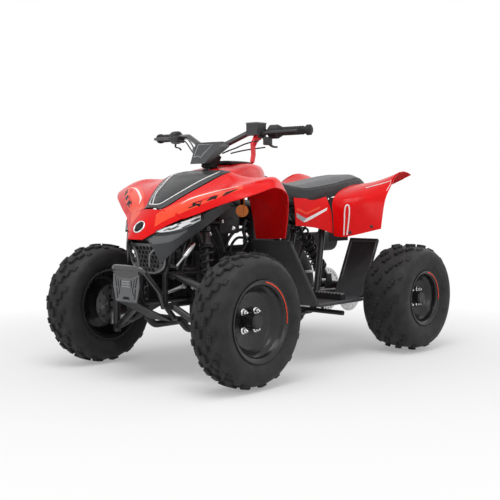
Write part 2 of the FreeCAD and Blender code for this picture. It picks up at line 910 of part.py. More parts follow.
def tie_rod():
    outer = (front_axle_x - S.steering_arm, S.kingpin_y - S.steering_arm_inset,
             S.steering_arm_z + S.tie_rod_ball * 2)
    plate_low = S.stem_low_z - S.pitman_arm * 0.34
    inner = (S.stem_low_x - S.pitman_arm * 0.94, S.pitman_half_width,
             plate_low - S.tie_rod_ball * 2)
    low = S.steering_arm_z + arm_eye_half + S.gap
    cup = rod((outer[0], outer[1], low), (outer[0], outer[1], outer[2] + S.tie_rod_radius),
              S.tie_rod_ball)
    return join([rod(outer, inner, S.tie_rod_radius), ball(inner, S.tie_rod_ball), cup])


pair("tie_rod", tie_rod())

# Frame: rails, hoops and brackets, cut where the stem and dampers pass


def both_sides(points):
    return [points, [(x, -y, z) for x, y, z in points]]


def stem_at(share):
    return along(stem_low, stem_top, share)


box_rail_y = S.arm_pivot_y - S.arm_radius * 1.1 - S.small_tube - S.gap
rear_hoop_x = S.high_arm_rear_x - S.small_tube * 3.4
front_hoop_x = S.low_arm_front_x + S.small_tube * 1.3
tower_z = S.shock_top_z + S.shock_body_radius * 1.6
brace_x = S.shock_top_x + S.frame_tube * 7
peg_tube_x = S.crankcase_x - S.small_tube * 2
peg_tube_z = S.low_rail_z + S.small_tube


def lower_frame():
    y, z = S.low_rail_y, S.low_rail_z
    toe = S.frame_tube * 3
    pieces = []
    for line in both_sides([(S.low_rail_front_x, y, z + toe), (S.low_rail_front_x - toe, y, z),
                            (S.low_rail_rear_x, y, z),
                            (S.low_rail_rear_x - toe * 2, S.top_rail_y, S.saddle_rail_z)]):
        pieces.append(tube(line, S.frame_tube, toe))
    for x, height in ((S.low_rail_front_x, z + toe), (rear_hoop_x, z),
                      (S.low_rail_rear_x + toe, z)):
        pieces.append(rod((x, -y, height), (x, y, height), S.small_tube))
    pieces.append(rod((peg_tube_x, -S.bar_end_y * 0.75, peg_tube_z),
                      (peg_tube_x, S.bar_end_y * 0.75, peg_tube_z), S.small_tube))
    pieces.append(rod((S.swing_pivot_x - S.frame_tube * 3, -y, S.swing_pivot_z),
                      (S.swing_pivot_x - S.frame_tube * 3, y, S.swing_pivot_z), S.small_tube))
    for side in (1, -1):
        for x in (S.crankcase_x + S.crankcase_length * 0.2,
                  S.crankcase_x + S.crankcase_length * 0.7):
            at_y = S.crankcase_half_width * 0.68 * side
            pieces.append(rod((x, at_y, z), (x, at_y, S.crankcase_z), S.small_tube))
        at_y = (S.footwell_inner_y + S.footwell_wall_y) / 2 * side
        pieces.append(rod((peg_tube_x, at_y, peg_tube_z), (peg_tube_x, at_y, S.footwell_z),
                          S.post_radius))
    return join(pieces)


def front_frame():
    y = box_rail_y
    low_z = S.low_rail_z + S.frame_tube * 3
    pieces = []
    for line in both_sides([(S.low_rail_front_x, y, low_z), (front_hoop_x, y, S.low_arm_z),
                            (front_hoop_x, y, S.high_arm_z), (brace_x, y, tower_z),
                            (stem_at(0.68)[0], y * 0.3, stem_at(0.68)[2])]):
        pieces.append(tube(line, S.small_tube, S.small_tube * 3))
    for line in both_sides([(rear_hoop_x, y, S.low_rail_z), (rear_hoop_x, y, S.high_arm_z),
                            (S.shock_top_x, y, tower_z), (S.shock_top_x, y * 0.6, tower_z * 1.1)]):
        pieces.append(tube(line, S.small_tube, S.small_tube * 2))
    for z in (S.low_arm_z, S.high_arm_z):
        for side in (y, -y):
            pieces.append(rod((rear_hoop_x, side, z), (front_hoop_x, side, z),
                              S.small_tube * 0.9))
    tower_y = S.shock_top_y + S.shock_body_radius
    pieces.append(rod((S.shock_top_x, -tower_y, tower_z), (S.shock_top_x, tower_y, tower_z),
                      S.small_tube))
    for side in (1, -1):
        pieces.append(rod((S.shock_top_x, S.shock_top_y * side, tower_z),
                          (S.shock_top_x, S.kingpin_y * 0.55 * side, S.stem_top_z * 0.85),
                          S.post_radius))
        pieces.append(rod((front_hoop_x, y * side, grille_tab_z),
                          (front_hoop_x + S.small_tube * 2, grille_tab_y * side, grille_tab_z),
                          S.post_radius))
    low_bearing = stem_at(0.07)
    pieces.append(rod((low_bearing[0], -y, low_bearing[2]), (low_bearing[0], y, low_bearing[2]),
                      S.small_tube))
    pieces.append(rod(stem_at(0.045), stem_at(0.1), S.stem_radius * 1.7))
    pieces.append(rod(stem_at(0.62), stem_at(0.76), S.stem_radius * 1.7))
    pieces.append(rod((S.shock_top_x, 0, tower_z), (S.shock_top_x, 0, S.draw_height * 0.78),
                      S.post_radius))
    bore = rod(stem_low, stem_top, S.stem_radius + S.running_fit)
    return main_piece(cut(join(pieces), bore, lower, front_damper, far_damper, grille_plate,
                          fender, mirrored(fender), hood))


def upper_frame():
    y = S.top_rail_y
    pieces = []
    for line in both_sides([(stem_at(0.7)[0], y * 0.2, stem_at(0.7)[2]),
                            (S.shock_top_x - y * 3, y, S.saddle_rail_z + S.frame_tube * 3),
                            (S.saddle_rail_x, y, S.saddle_rail_z),
                            (S.tail_rail_x, y, S.tail_rail_z)]):
        pieces.append(tube(line, S.frame_tube, S.frame_tube * 4))
    tail_x = S.tail_rail_x + S.frame_tube
    tank_x = S.shock_top_x - y * 3.7
    tank_z = S.saddle_rail_z + S.frame_tube * 2.5
    for x, z in ((S.saddle_rail_x, S.saddle_rail_z), (tail_x, S.tail_rail_z),
                 (S.rear_shock_top_x, S.saddle_rail_z + S.frame_tube / 2)):
        pieces.append(rod((x, -y, z), (x, y, z), S.small_tube))
    for side in (1, -1):
        for x, at_y, low, high in (
                (tank_x, y, tank_z, S.stem_top_z * 0.91),
                (S.saddle_rail_x, y / 2, S.saddle_rail_z, S.saddle_rail_z + y * 0.8),
                (S.tail_rail_x + y, y, S.tail_rail_z, S.tail_rail_z + y * 0.85),
                (tail_x, y * 0.6, S.tail_rail_z, S.tail_rail_z + y * 0.65)):
            pieces.append(rod((x, at_y * side, low), (x, at_y * side, high), S.post_radius))
    bore = rod(stem_low, stem_top, S.stem_radius + S.running_fit)
    return main_piece(cut(join(pieces), bore, lower, front, rear_damper, tank, seat, deck))


lower = node("lower_frame", lower_frame())

# Engine: the crankcase block, a finned horizontal cylinder and its covers


def crankcase():
    x, z = S.crankcase_x, S.crankcase_z
    length, height = S.crankcase_length, S.crankcase_height
    outline = [(x, z + height * 0.2), (x + length * 0.12, z), (x + length * 0.8, z),
               (x + length, z + height * 0.3), (x + length, z + height * 0.86),
               (x + length * 0.72, z + height), (x + length * 0.2, z + height),
               (x, z + height * 0.75)]
    half = S.crankcase_half_width * 0.8
    shaft_x, shaft_z = S.output_shaft_x, S.output_shaft_z
    floor_y = S.sprocket_y + S.disc_thickness * 3
    recess = rod((shaft_x, -half * 1.1, shaft_z), (shaft_x, floor_y, shaft_z),
                 S.output_sprocket_radius + S.disc_thickness * 8)
    shaft = rod((shaft_x, S.sprocket_y - S.disc_thickness * 3, shaft_z),
                (shaft_x, floor_y + S.disc_thickness, shaft_z), S.axle_radius * 0.7)
    teeth = rod((shaft_x, S.sprocket_y - S.disc_thickness, shaft_z),
                (shaft_x, S.sprocket_y + S.disc_thickness, shaft_z), S.output_sprocket_radius)
    return join([cut(plate("XZ_Plane", [outline], -half, half), recess), shaft, teeth])


def side_cover(side):
    """A round-ended clutch cover, bolted on the case's side."""
    x = S.crankcase_x + S.crankcase_length * 0.3
    z = S.crankcase_z + S.crankcase_height * 0.5
    inner = S.crankcase_half_width * 0.8
    first = rod((x, inner * side, z), (x, S.crankcase_half_width * side, z),
                S.crankcase_height * 0.42)
    x = x + S.crankcase_length * 0.42
    second = rod((x, inner * side, z), (x, S.crankcase_half_width * 0.94 * side, z),
                 S.crankcase_height * 0.3)
    return join([first, second])


def cylinder():
    """The barrel and head with their fins, lying forward of the case."""
    barrel = S.cylinder_radius
    pitch = S.cylinder_length / S.fin_count
    outline = [(0, 0), (0, barrel)]
    for number in range(int(S.fin_count)):
        at = pitch * (number + 0.25)
        outline += [(at, barrel), (at, S.fin_radius), (at + pitch * 0.4, S.fin_radius),
                    (at + pitch * 0.4, barrel)]
    end = S.cylinder_length
    outline += [(end, barrel), (end, barrel * 0.9), (end + barrel * 0.7, barrel * 0.7),
                (end + barrel * 0.7, 0)]
    body = new_body("cylinder")
    turn(body, outline)
    return place(body, (S.crankcase_x + S.crankcase_length, 0, S.cylinder_z),
                 Rotation(Vector(0, 1, 0), Vector(1, 0, 0)))


node("crankcase", crankcase())
node("engine_covers", gather([side_cover(1), side_cover(-1)]))
node("cylinder", cylinder())

# Rear end: swingarm with its bearing carrier, damper and chain


def swingarm():
    x, z = rear_axle_x, S.rear_tyre_radius
    half = S.carrier_half_width
    carrier = rod((x, -half, z), (x, half, z), S.carrier_radius)
    arm_y = half * 0.55
    pieces = [carrier]
    for side in (arm_y, -arm_y):
        pieces.append(rod((x + S.carrier_radius / 2, side, z), (S.swing_pivot_x, side,
                      S.swing_pivot_z), S.frame_tube * 1.1))
    pieces.append(rod((S.swing_pivot_x, -half, S.swing_pivot_z),
                      (S.swing_pivot_x, half, S.swing_pivot_z), S.frame_tube * 1.4))
    mount_x, mount_z = S.rear_shock_low_x, S.rear_shock_low_z - S.small_tube
    pieces.append(rod((mount_x, -arm_y, mount_z), (mount_x, arm_y, mount_z), S.small_tube))
    for side in (arm_y, -arm_y):
        ear = S.frame_tube * 0.3
        pieces.append(plate("XZ_Plane", [[
            (mount_x - S.frame_tube * 2, z), (mount_x + S.frame_tube * 2, z),
            (mount_x + S.frame_tube, mount_z + S.frame_tube),
            (mount_x - S.frame_tube, mount_z + S.frame_tube)]], side - ear, side + ear))
    bore = rod((x, -half * 2, z), (x, half * 2, z), S.axle_radius + S.running_fit)
    return cut(join(pieces), bore, lower)


swing = node("swingarm", swingarm())
rear_damper, rear_spring = coil_over(
    (S.rear_shock_top_x, 0, S.rear_shock_top_z),
    (S.rear_shock_low_x, 0, S.rear_shock_low_z), S.shock_body_radius * 1.2,
    S.shock_rod_radius, S.spring_radius * 1.2)
rear_damper = cut(rear_damper, swing)
node("dampers", gather([front_damper, far_damper, rear_damper]))
node("springs", gather([front_spring, mirrored(front_spring), rear_spring]))


def chain():
    """The drive chain's loop, just outside the sprocket's teeth."""
    from_x, from_z = rear_axle_x, S.rear_tyre_radius
    to_x, to_z = S.output_shaft_x, S.output_shaft_z
    big = S.sprocket_radius + S.gap
    small = S.output_sprocket_radius + S.gap
    wall = S.disc_thickness * 3
    shapes = []
    for extra in (wall, 0):
        radius_a, radius_b = float(big + extra), float(small + extra)
        span = Vector(float(to_x - from_x), float(to_z - from_z), 0)
        lean = math.atan2(span.y, span.x)
        spread = math.acos((radius_a - radius_b) / span.Length)
        points = []
        for angle in (lean + spread, lean + math.pi, lean - spread):
            points.append(Vector(math.cos(angle), math.sin(angle), 0) * radius_a)
        for angle in (lean - spread, lean, lean + spread):
            points.append(span + Vector(math.cos(angle), math.sin(angle), 0) * radius_b)
        shapes.append(Part.Wire([
            Part.Arc(points[0], points[1], points[2]).toShape(),
            Part.makeLine(points[2], points[3]),
            Part.Arc(points[3], points[4], points[5]).toShape(),
            Part.makeLine(points[5], points[0])]))
    face = Part.Face(shapes[0]).cut(Part.Face(shapes[1]))
    solid = face.extrude(Vector(0, 0, float(S.disc_thickness) * 2))
    loop = feature(solid)
    return place(loop, (from_x, S.sprocket_y + S.disc_thickness, from_z),
                 Rotation(Vector(1, 0, 0), 90))


node("drive_chain", chain())

# Body panels: ribs from front to rear, each from the middle of the vehicle outwards

NOSE_RIB_SHARES = [
    [(0.697, 0, 0.512), (0.697, 0.018, 0.512), (0.696, 0.03, 0.512), (0.694, 0.038, 0.513)],
    [(0.688, 0, 0.53), (0.687, 0.022, 0.53), (0.685, 0.038, 0.528), (0.68, 0.052, 0.523)],
    [(0.672, 0, 0.556), (0.67, 0.03, 0.555), (0.666, 0.054, 0.55), (0.658, 0.078, 0.541)],
    [(0.645, 0, 0.59), (0.643, 0.036, 0.588), (0.638, 0.07, 0.58), (0.627, 0.116, 0.57)],
    [(0.615, 0, 0.62), (0.613, 0.042, 0.617), (0.607, 0.096, 0.61), (0.601, 0.15, 0.588)],
]

HOOD_RIB_SHARES = [
    [(0.612, 0, 0.626), (0.611, 0.016, 0.625), (0.61, 0.03, 0.624), (0.609, 0.04, 0.622)],
    [(0.596, 0, 0.643), (0.596, 0.02, 0.641), (0.597, 0.036, 0.634), (0.598, 0.049, 0.623)],
    [(0.536, 0, 0.69), (0.536, 0.04, 0.687), (0.537, 0.066, 0.679), (0.538, 0.084, 0.667)],
    [(0.465, 0, 0.733), (0.465, 0.056, 0.73), (0.466, 0.096, 0.721), (0.467, 0.12, 0.709)],
    [(0.39, 0, 0.757), (0.39, 0.07, 0.757), (0.39, 0.115, 0.753), (0.391, 0.143, 0.748)],
    [(0.335, 0, 0.766), (0.335, 0.066, 0.766), (0.336, 0.112, 0.764), (0.337, 0.14, 0.76)],
]

FENDER_RIB_SHARES = [
    [(0.612, 0.045, 0.618), (0.609, 0.075, 0.613), (0.606, 0.1, 0.607), (0.603, 0.126, 0.6),
     (0.6, 0.152, 0.586)],
    [(0.597, 0.052, 0.62), (0.594, 0.084, 0.62), (0.59, 0.116, 0.619), (0.587, 0.146, 0.613),
     (0.588, 0.17, 0.594)],
    [(0.537, 0.088, 0.665), (0.546, 0.124, 0.657), (0.556, 0.158, 0.65), (0.565, 0.19, 0.64),
     (0.57, 0.205, 0.606)],
    [(0.467, 0.125, 0.706), (0.479, 0.172, 0.69), (0.494, 0.22, 0.682), (0.51, 0.262, 0.678),
     (0.526, 0.282, 0.642)],
    [(0.391, 0.148, 0.745), (0.408, 0.205, 0.716), (0.43, 0.265, 0.705), (0.454, 0.32, 0.707),
     (0.484, 0.346, 0.662)],
    [(0.338, 0.145, 0.758), (0.352, 0.215, 0.73), (0.372, 0.285, 0.718), (0.4, 0.345, 0.728),
     (0.438, 0.39, 0.684)],
    [(0.315, 0.147, 0.75), (0.322, 0.215, 0.736), (0.33, 0.29, 0.733), (0.352, 0.362, 0.74),
     (0.392, 0.4, 0.7)],
    [(0.288, 0.147, 0.738), (0.29, 0.215, 0.735), (0.295, 0.29, 0.738), (0.314, 0.37, 0.738),
     (0.34, 0.398, 0.692)],
    [(0.262, 0.147, 0.712), (0.261, 0.2, 0.714), (0.264, 0.28, 0.714), (0.275, 0.345, 0.706),
     (0.285, 0.38, 0.672)],
    [(0.232, 0.147, 0.65), (0.23, 0.195, 0.652), (0.23, 0.255, 0.652), (0.234, 0.308, 0.646),
     (0.246, 0.35, 0.625)],
    [(0.208, 0.147, 0.56), (0.206, 0.188, 0.56), (0.208, 0.235, 0.56), (0.214, 0.285, 0.56),
     (0.23, 0.33, 0.56)],
    [(0.196, 0.147, 0.502), (0.194, 0.184, 0.502), (0.198, 0.224, 0.503), (0.207, 0.268, 0.505),
     (0.226, 0.318, 0.508)],
]

FASCIA_RIB_SHARES = [
    [(0.682, 0.05, 0.512), (0.674, 0.066, 0.494), (0.664, 0.082, 0.462), (0.654, 0.088, 0.42)],
    [(0.652, 0.088, 0.54), (0.648, 0.1, 0.516), (0.642, 0.11, 0.486), (0.634, 0.112, 0.452)],
    [(0.612, 0.13, 0.568), (0.606, 0.136, 0.546), (0.6, 0.138, 0.52), (0.594, 0.136, 0.494)],
    [(0.57, 0.18, 0.588), (0.562, 0.176, 0.572), (0.554, 0.17, 0.552), (0.546, 0.162, 0.53)],
    [(0.5, 0.214, 0.622), (0.493, 0.208, 0.61), (0.486, 0.2, 0.596), (0.478, 0.192, 0.58)],
    [(0.42, 0.222, 0.652), (0.416, 0.214, 0.644), (0.411, 0.208, 0.636), (0.406, 0.202, 0.626)],
]

HEADLIGHT_RIB_SHARES = [
    [(0.668, 0.081, 0.543), (0.665, 0.085, 0.539), (0.66, 0.088, 0.534)],
    [(0.63, 0.121, 0.562), (0.626, 0.127, 0.55), (0.62, 0.13, 0.537)],
    [(0.585, 0.168, 0.583), (0.58, 0.17, 0.571), (0.573, 0.17, 0.558)],
    [(0.545, 0.2, 0.601), (0.541, 0.199, 0.594), (0.537, 0.198, 0.588)],
]

SIDE_COVER_RIB_SHARES = [
    [(-0.08, 0.112, 0.66), (-0.08, 0.118, 0.62), (-0.082, 0.121, 0.58), (-0.084, 0.12, 0.544)],
    [(-0.15, 0.116, 0.655), (-0.15, 0.124, 0.615), (-0.15, 0.127, 0.575), (-0.15, 0.126, 0.538)],
    [(-0.22, 0.118, 0.66), (-0.22, 0.13, 0.62), (-0.222, 0.135, 0.575), (-0.224, 0.136, 0.53)],
    [(-0.286, 0.12, 0.672), (-0.286, 0.148, 0.62), (-0.288, 0.158, 0.56),
     (-0.29, 0.158, 0.506)],
]

REAR_FENDER_RIB_SHARES = [
    [(-0.29, 0.164, 0.496), (-0.292, 0.2, 0.489), (-0.318, 0.238, 0.497), (-0.36, 0.285, 0.512),
     (-0.402, 0.33, 0.527)],
    [(-0.289, 0.162, 0.57), (-0.291, 0.2, 0.57), (-0.318, 0.24, 0.574), (-0.362, 0.286, 0.582),
     (-0.414, 0.33, 0.59)],
    [(-0.288, 0.152, 0.644), (-0.292, 0.2, 0.648), (-0.32, 0.24, 0.65), (-0.368, 0.287, 0.652),
     (-0.432, 0.33, 0.655)],
    [(-0.34, 0.142, 0.682), (-0.352, 0.198, 0.684), (-0.38, 0.24, 0.686), (-0.424, 0.285, 0.692),
     (-0.476, 0.325, 0.7)],
    [(-0.43, 0.135, 0.71), (-0.44, 0.195, 0.712), (-0.464, 0.24, 0.718), (-0.498, 0.28, 0.732),
     (-0.535, 0.312, 0.748)],
    [(-0.52, 0.13, 0.722), (-0.53, 0.19, 0.728), (-0.55, 0.235, 0.742), (-0.572, 0.27, 0.758),
     (-0.59, 0.3, 0.774)],
    [(-0.61, 0.13, 0.716), (-0.618, 0.185, 0.73), (-0.628, 0.23, 0.748), (-0.64, 0.268, 0.766),
     (-0.65, 0.296, 0.778)],
    [(-0.69, 0.13, 0.7), (-0.694, 0.18, 0.716), (-0.698, 0.225, 0.734), (-0.701, 0.262, 0.752),
     (-0.703, 0.29, 0.764)],
]


def drawn(rows):
    return [[(S.draw_length * x, S.draw_width * y, S.draw_height * z) for x, y, z in row]
            for row in rows]


def full_width(rows):
    """Ribs that cross the middle, from right to left."""
    return [[(x, -y, z) for x, y, z in row[:0:-1]] + row for row in rows]


def panel(rows, thickness=S.skin):
    return feature(thick_shell(drawn(rows), thickness))


hood = panel(full_width(HOOD_RIB_SHARES))
nose = panel(full_width(NOSE_RIB_SHARES))
node("hood_panel", hood)
node("nose_cowl", cut(nose, hood))
fender = cut(panel(FENDER_RIB_SHARES), hood, nose)
both("front_fenders", fender)
headlight = cut(panel(HEADLIGHT_RIB_SHARES, S.skin * 4), nose)
fascia = cut(panel(FASCIA_RIB_SHARES), headlight, nose, fender)
both("headlights", headlight)
both("fascias", fascia)
both("rear_fenders", panel(REAR_FENDER_RIB_SHARES))

# Tank cover and seat: closed forms with a crowned upper skin

# Station, then (half width, height) at the hem, the flank, the shoulder and the middle
TANK_STATION_SHARES = [
    (0.332, (0.142, 0.738), (0.137, 0.757), (0.07, 0.767), 0.768),
    (0.25, (0.143, 0.735), (0.13, 0.77), (0.08, 0.784), 0.786),
    (0.165, (0.13, 0.735), (0.114, 0.777), (0.086, 0.795), 0.799),
    (0.095, (0.098, 0.738), (0.086, 0.774), (0.06, 0.794), 0.797),
    (0.042, (0.06, 0.742), (0.052, 0.768), (0.034, 0.788), 0.792),
]
SEAT_STATION_SHARES = [
    (0.03, (0.05, 0.705), (0.06, 0.735), (0.045, 0.752), 0.756),
    (-0.06, (0.092, 0.64), (0.1, 0.68), (0.088, 0.714), 0.722),
    (-0.16, (0.11, 0.6), (0.122, 0.655), (0.112, 0.7), 0.712),
    (-0.25, (0.116, 0.636), (0.13, 0.672), (0.12, 0.706), 0.72),
    (-0.37, (0.118, 0.662), (0.133, 0.69), (0.123, 0.722), 0.738),
    (-0.48, (0.116, 0.678), (0.13, 0.705), (0.12, 0.738), 0.754),
    (-0.57, (0.108, 0.69), (0.12, 0.714), (0.108, 0.744), 0.76),
    (-0.645, (0.08, 0.7), (0.09, 0.715), (0.08, 0.73), 0.742),
]


def crowned(stations, hollow):
    """A cushion-like form over a hollow underside, hollow lengths below its middle."""
    upper = []
    lower = []
    for x, hem, flank, shoulder, middle in stations:
        half = [(x, y, z) for y, z in (hem, flank, shoulder)]
        half.append((x, shoulder[0] / 2, middle))
        upper.append([(a, -b, c) for a, b, c in half] + [(x, 0, middle)] + half[::-1])
        floor = max(middle - hollow, hem[1])
        under = [(x, hem[0], hem[1]), (x, hem[0] * 0.95, hem[1]), (x, hem[0] * 0.9, floor),
                 (x, hem[0] * 0.5, floor)]
        lower.append([(a, -b, c) for a, b, c in under] + [(x, 0, floor)] + under[::-1])
    return feature(solid_between(vectors(drawn(upper)), vectors(drawn(lower))))


SEAT_DEPTH_SHARE = 0.062
TANK_DEPTH_SHARE = 0.05
stem_opening = rod(stem_low, stem_top, S.stem_radius * 1.8)
tank = cut(crowned(TANK_STATION_SHARES, TANK_DEPTH_SHARE), stem_opening)
node("tank_cover", tank)
seat = node("seat", crowned(SEAT_STATION_SHARES, SEAT_DEPTH_SHARE))
both("side_covers", cut(panel(SIDE_COVER_RIB_SHARES), seat))

DECK_RIB_SHARES = [
    [(-0.6, 0, 0.685), (-0.6, 0.05, 0.686), (-0.6, 0.1, 0.694), (-0.602, 0.134, 0.71)],
    [(-0.65, 0, 0.688), (-0.65, 0.05, 0.689), (-0.65, 0.1, 0.696), (-0.652, 0.136, 0.709)],
    [(-0.7, 0, 0.69), (-0.7, 0.05, 0.691), (-0.698, 0.1, 0.694), (-0.694, 0.134, 0.702)],
    [(-0.712, 0, 0.655), (-0.712, 0.05, 0.655), (-0.71, 0.1, 0.66), (-0.7, 0.124, 0.668)],
    [(-0.702, 0, 0.61), (-0.702, 0.05, 0.61), (-0.698, 0.09, 0.616), (-0.69, 0.116, 0.63)],
]
deck = node("rear_deck", cut(panel(full_width(DECK_RIB_SHARES)), nodes["rear_fenders"], seat))

CONSOLE_RIB_SHARES = [
    [(0.235, 0, 0.806), (0.235, 0.03, 0.806), (0.234, 0.05, 0.802)],
    [(0.17, 0, 0.809), (0.17, 0.036, 0.808), (0.17, 0.064, 0.802)],
    [(0.11, 0, 0.806), (0.11, 0.03, 0.805), (0.108, 0.052, 0.8)],
]
node("console", cut(panel(full_width(CONSOLE_RIB_SHARES), S.skin * 3), tank))

# Footwells: a front wall, a floor and a rear wall with a rolled outer lip

FOOTWELL_FRONT_SHARES = ((0.203, 0.496), (0.027, 0))
FOOTWELL_REAR_SHARES = ((-0.361, 0), (-0.478, 0.48))
floor_rear_x = rear_axle_x + S.rear_tyre_radius + S.frame_tube


def footwell():
    inner, wall_y, floor_y = S.footwell_inner_y, S.footwell_wall_y, S.footwell_floor_y
    low = S.footwell_z
    skin = S.footwell_sheet
    (top_x, top_z), (toe_x, _) = [(S.draw_length * x, S.draw_height * z)
                                  for x, z in FOOTWELL_FRONT_SHARES]
    (heel_x, _), (back_x, back_z) = [(S.draw_length * x, S.draw_height * z)
                                     for x, z in FOOTWELL_REAR_SHARES]
    front = plate("XZ_Plane", [[(top_x, top_z), (toe_x, low), (toe_x - skin * 1.3, low),
                                (toe_x - skin * 1.3, low + skin), (top_x - skin * 1.2, top_z)]],
                  inner, floor_y)
    floor = plate("XY_Plane", [[(toe_x, inner), (toe_x, floor_y), (floor_rear_x, floor_y),
                                (floor_rear_x - skin, wall_y), (heel_x, wall_y),
                                (heel_x, inner)]], low, low + skin)
    rear = plate("XZ_Plane", [[(back_x, back_z), (heel_x, low), (heel_x + skin * 1.3, low),
                               (heel_x + skin * 1.3, low + skin), (back_x + skin * 1.15, back_z)]],
                 inner, wall_y)
    roll = skin * 0.5
    edge = floor_y - roll
    side = wall_y - roll
    height = low + roll
    lip = tube([(top_x - skin * 0.7, edge, top_z - skin), (toe_x - skin * 0.7, edge, height),
                (floor_rear_x + skin, edge, height), (floor_rear_x - skin, side, height),
                (heel_x + skin * 0.7, side, height), (back_x + skin * 0.7, side, back_z - skin)],
               skin * 1.25, skin * 3)
    return join([front, floor, rear, lip])


def foot_peg():
    """A serrated bar across the footwell's floor."""
    inner = S.footwell_inner_y + S.footwell_sheet * 5
    outer = S.footwell_floor_y - S.footwell_sheet * 4
    low = S.footwell_z + S.footwell_sheet
    high = low + S.footwell_sheet * 4
    pitch = (outer - inner) / S.peg_tooth_count
    outline = [(inner, low)]
    for number in range(int(S.peg_tooth_count)):
        at = inner + pitch * number
        outline += [(at, high), (at + pitch * 0.5, high + S.footwell_sheet)]
    outline += [(outer, high), (outer, low)]
    return plate("YZ_Plane", [outline], peg_tube_x - S.small_tube * 2, peg_tube_x + S.small_tube)


both("footwells", footwell())
both("foot_pegs", foot_peg())

# Front guard: bumper loop, its plate, the skid plate and the grille

BUMPER_POINT_SHARES = [(0.612, 0.062, 0.262), (0.65, 0.081, 0.323), (0.732, 0.079, 0.411)]
BUMPER_PLATE_SHARES = [(-0.062, 0.411), (0.062, 0.411), (0.072, 0.345), (0.056, 0.288),
                       (-0.056, 0.288), (-0.072, 0.345)]
SKID_SHARES = [(0.73, 0.288), (0.724, 0.284), (0.565, 0.205), (0.56, 0.212)]


GRILLE_OUTLINE_SHARES = [(-0.03, 0), (0.03, 0), (0.083, 0.03), (0.095, 0.112), (-0.095, 0.112),
                         (-0.083, 0.03)]
GRILLE_FOOT_SHARE = (0.617, 0.386)
GRILLE_LEAN_ANGLE = 11.4
GRILLE_HOLE_COUNTS = (3, 6, 9, 8, 9, 8)
GRILLE_PITCH_SHARE = 1.9
HEXAGON_ROW_SHARE = 0.866


def drawn_flat(points, across, up):
    return [(across * u, up * v) for u, v in points]


def grille():
    """A leaning plate with rows of hexagonal holes."""
    outline = drawn_flat(GRILLE_OUTLINE_SHARES, S.draw_width, S.draw_height)
    pitch = S.bumper_radius * GRILLE_PITCH_SHARE
    holes = []
    for row, count in enumerate(GRILLE_HOLE_COUNTS):
        up = pitch * (0.62 + HEXAGON_ROW_SHARE * row)
        for number in range(count):
            at = (-S.skin, pitch * (number - (count - 1) / 2), up)
            holes.append(hex_prism(at, Vector(1, 0, 0), pitch * 0.5, S.skin * 4))
    obj = cut(plate("YZ_Plane", [outline], 0, S.skin * 1.4), gather(holes))
    foot_x, foot_z = GRILLE_FOOT_SHARE
    return place(obj, (S.draw_length * foot_x, 0, S.draw_height * foot_z),
                 Rotation(Vector(0, 1, 0), GRILLE_LEAN_ANGLE))


grille_plate = node("grille", grille())
grille_tab_y = S.draw_width * 0.074
grille_tab_z = S.draw_height * (GRILLE_FOOT_SHARE[1] + 0.026)
front = node("front_frame", front_frame())
upper = node("upper_frame", upper_frame())
bumper_side = drawn([BUMPER_POINT_SHARES])[0]
bumper = cut(tube([(x, -y, z) for x, y, z in bumper_side] + bumper_side[::-1],
                  S.bumper_radius, S.bumper_radius * 2.2), front)
plate_x = S.draw_length * BUMPER_POINT_SHARES[2][0]
bumper_plate = plate("YZ_Plane", [drawn_flat(BUMPER_PLATE_SHARES, S.draw_width, S.draw_height)],
                     plate_x - S.bumper_radius / 4, plate_x + S.bumper_radius / 4)
node("front_bumper", join([bumper, bumper_plate]))
skid = plate("XZ_Plane", [drawn_flat(SKID_SHARES, S.draw_length, S.draw_height)],
             -S.low_rail_y * 0.6, S.low_rail_y * 0.6)
node("skid_plate", cut(skid, lower, bumper_plate))

# On the handlebar: the clamp, the instrument pod, the reservoir and the levers

# Half width, length and height at the foot and at the head of its face and of its back
POD_FACE_SHARES = [(0.038, 0.375, 0.79), (0.072, 0.309, 0.876)]
POD_BACK_SHARES = [(0.042, 0.349, 0.792), (0.082, 0.288, 0.872)]
POD_SHOULDER_SHARE = 0.78
POD_SHOULDER_WIDTH_SHARE = 0.1


def outline_wire(points):
    corners = [Vector(*[float(c) for c in point]) for point in points]
    return Part.makePolygon(corners + corners[:1])


def pod():
    """The instrument cover: a sloping face whose sides fall back to wide shoulders."""
    wires = []
    for low_share, high_share in (POD_FACE_SHARES, POD_BACK_SHARES):
        low, high = [(S.draw_length * x, S.draw_width * y, S.draw_height * z)
                     for y, x, z in (low_share, high_share)]
        middle = along(low, high, POD_SHOULDER_SHARE)
        if low_share is POD_BACK_SHARES[0]:
            middle = (middle[0], S.draw_width * POD_SHOULDER_WIDTH_SHARE, middle[2])
        half = [low, middle, high]
        wires.append(outline_wire(half + [(x, -y, z) for x, y, z in half[::-1]]))
    solid = Part.makeLoft(wires, True, True)
    if solid.Volume < 0:
        solid.reverse()
    return feature(solid)


clamp = cut(box((S.stem_top_x - S.stem_radius * 1.7, -S.stem_radius * 2.7, S.stem_top_z),
                (S.stem_top_x + S.stem_radius * 1.9, S.stem_radius * 2.7,
                 S.stem_top_z + S.bar_radius * 3.4)),
            handlebar, nodes["steering_stem"])
node("bar_clamp", clamp)
node("pod", cut(pod(), clamp, handlebar))

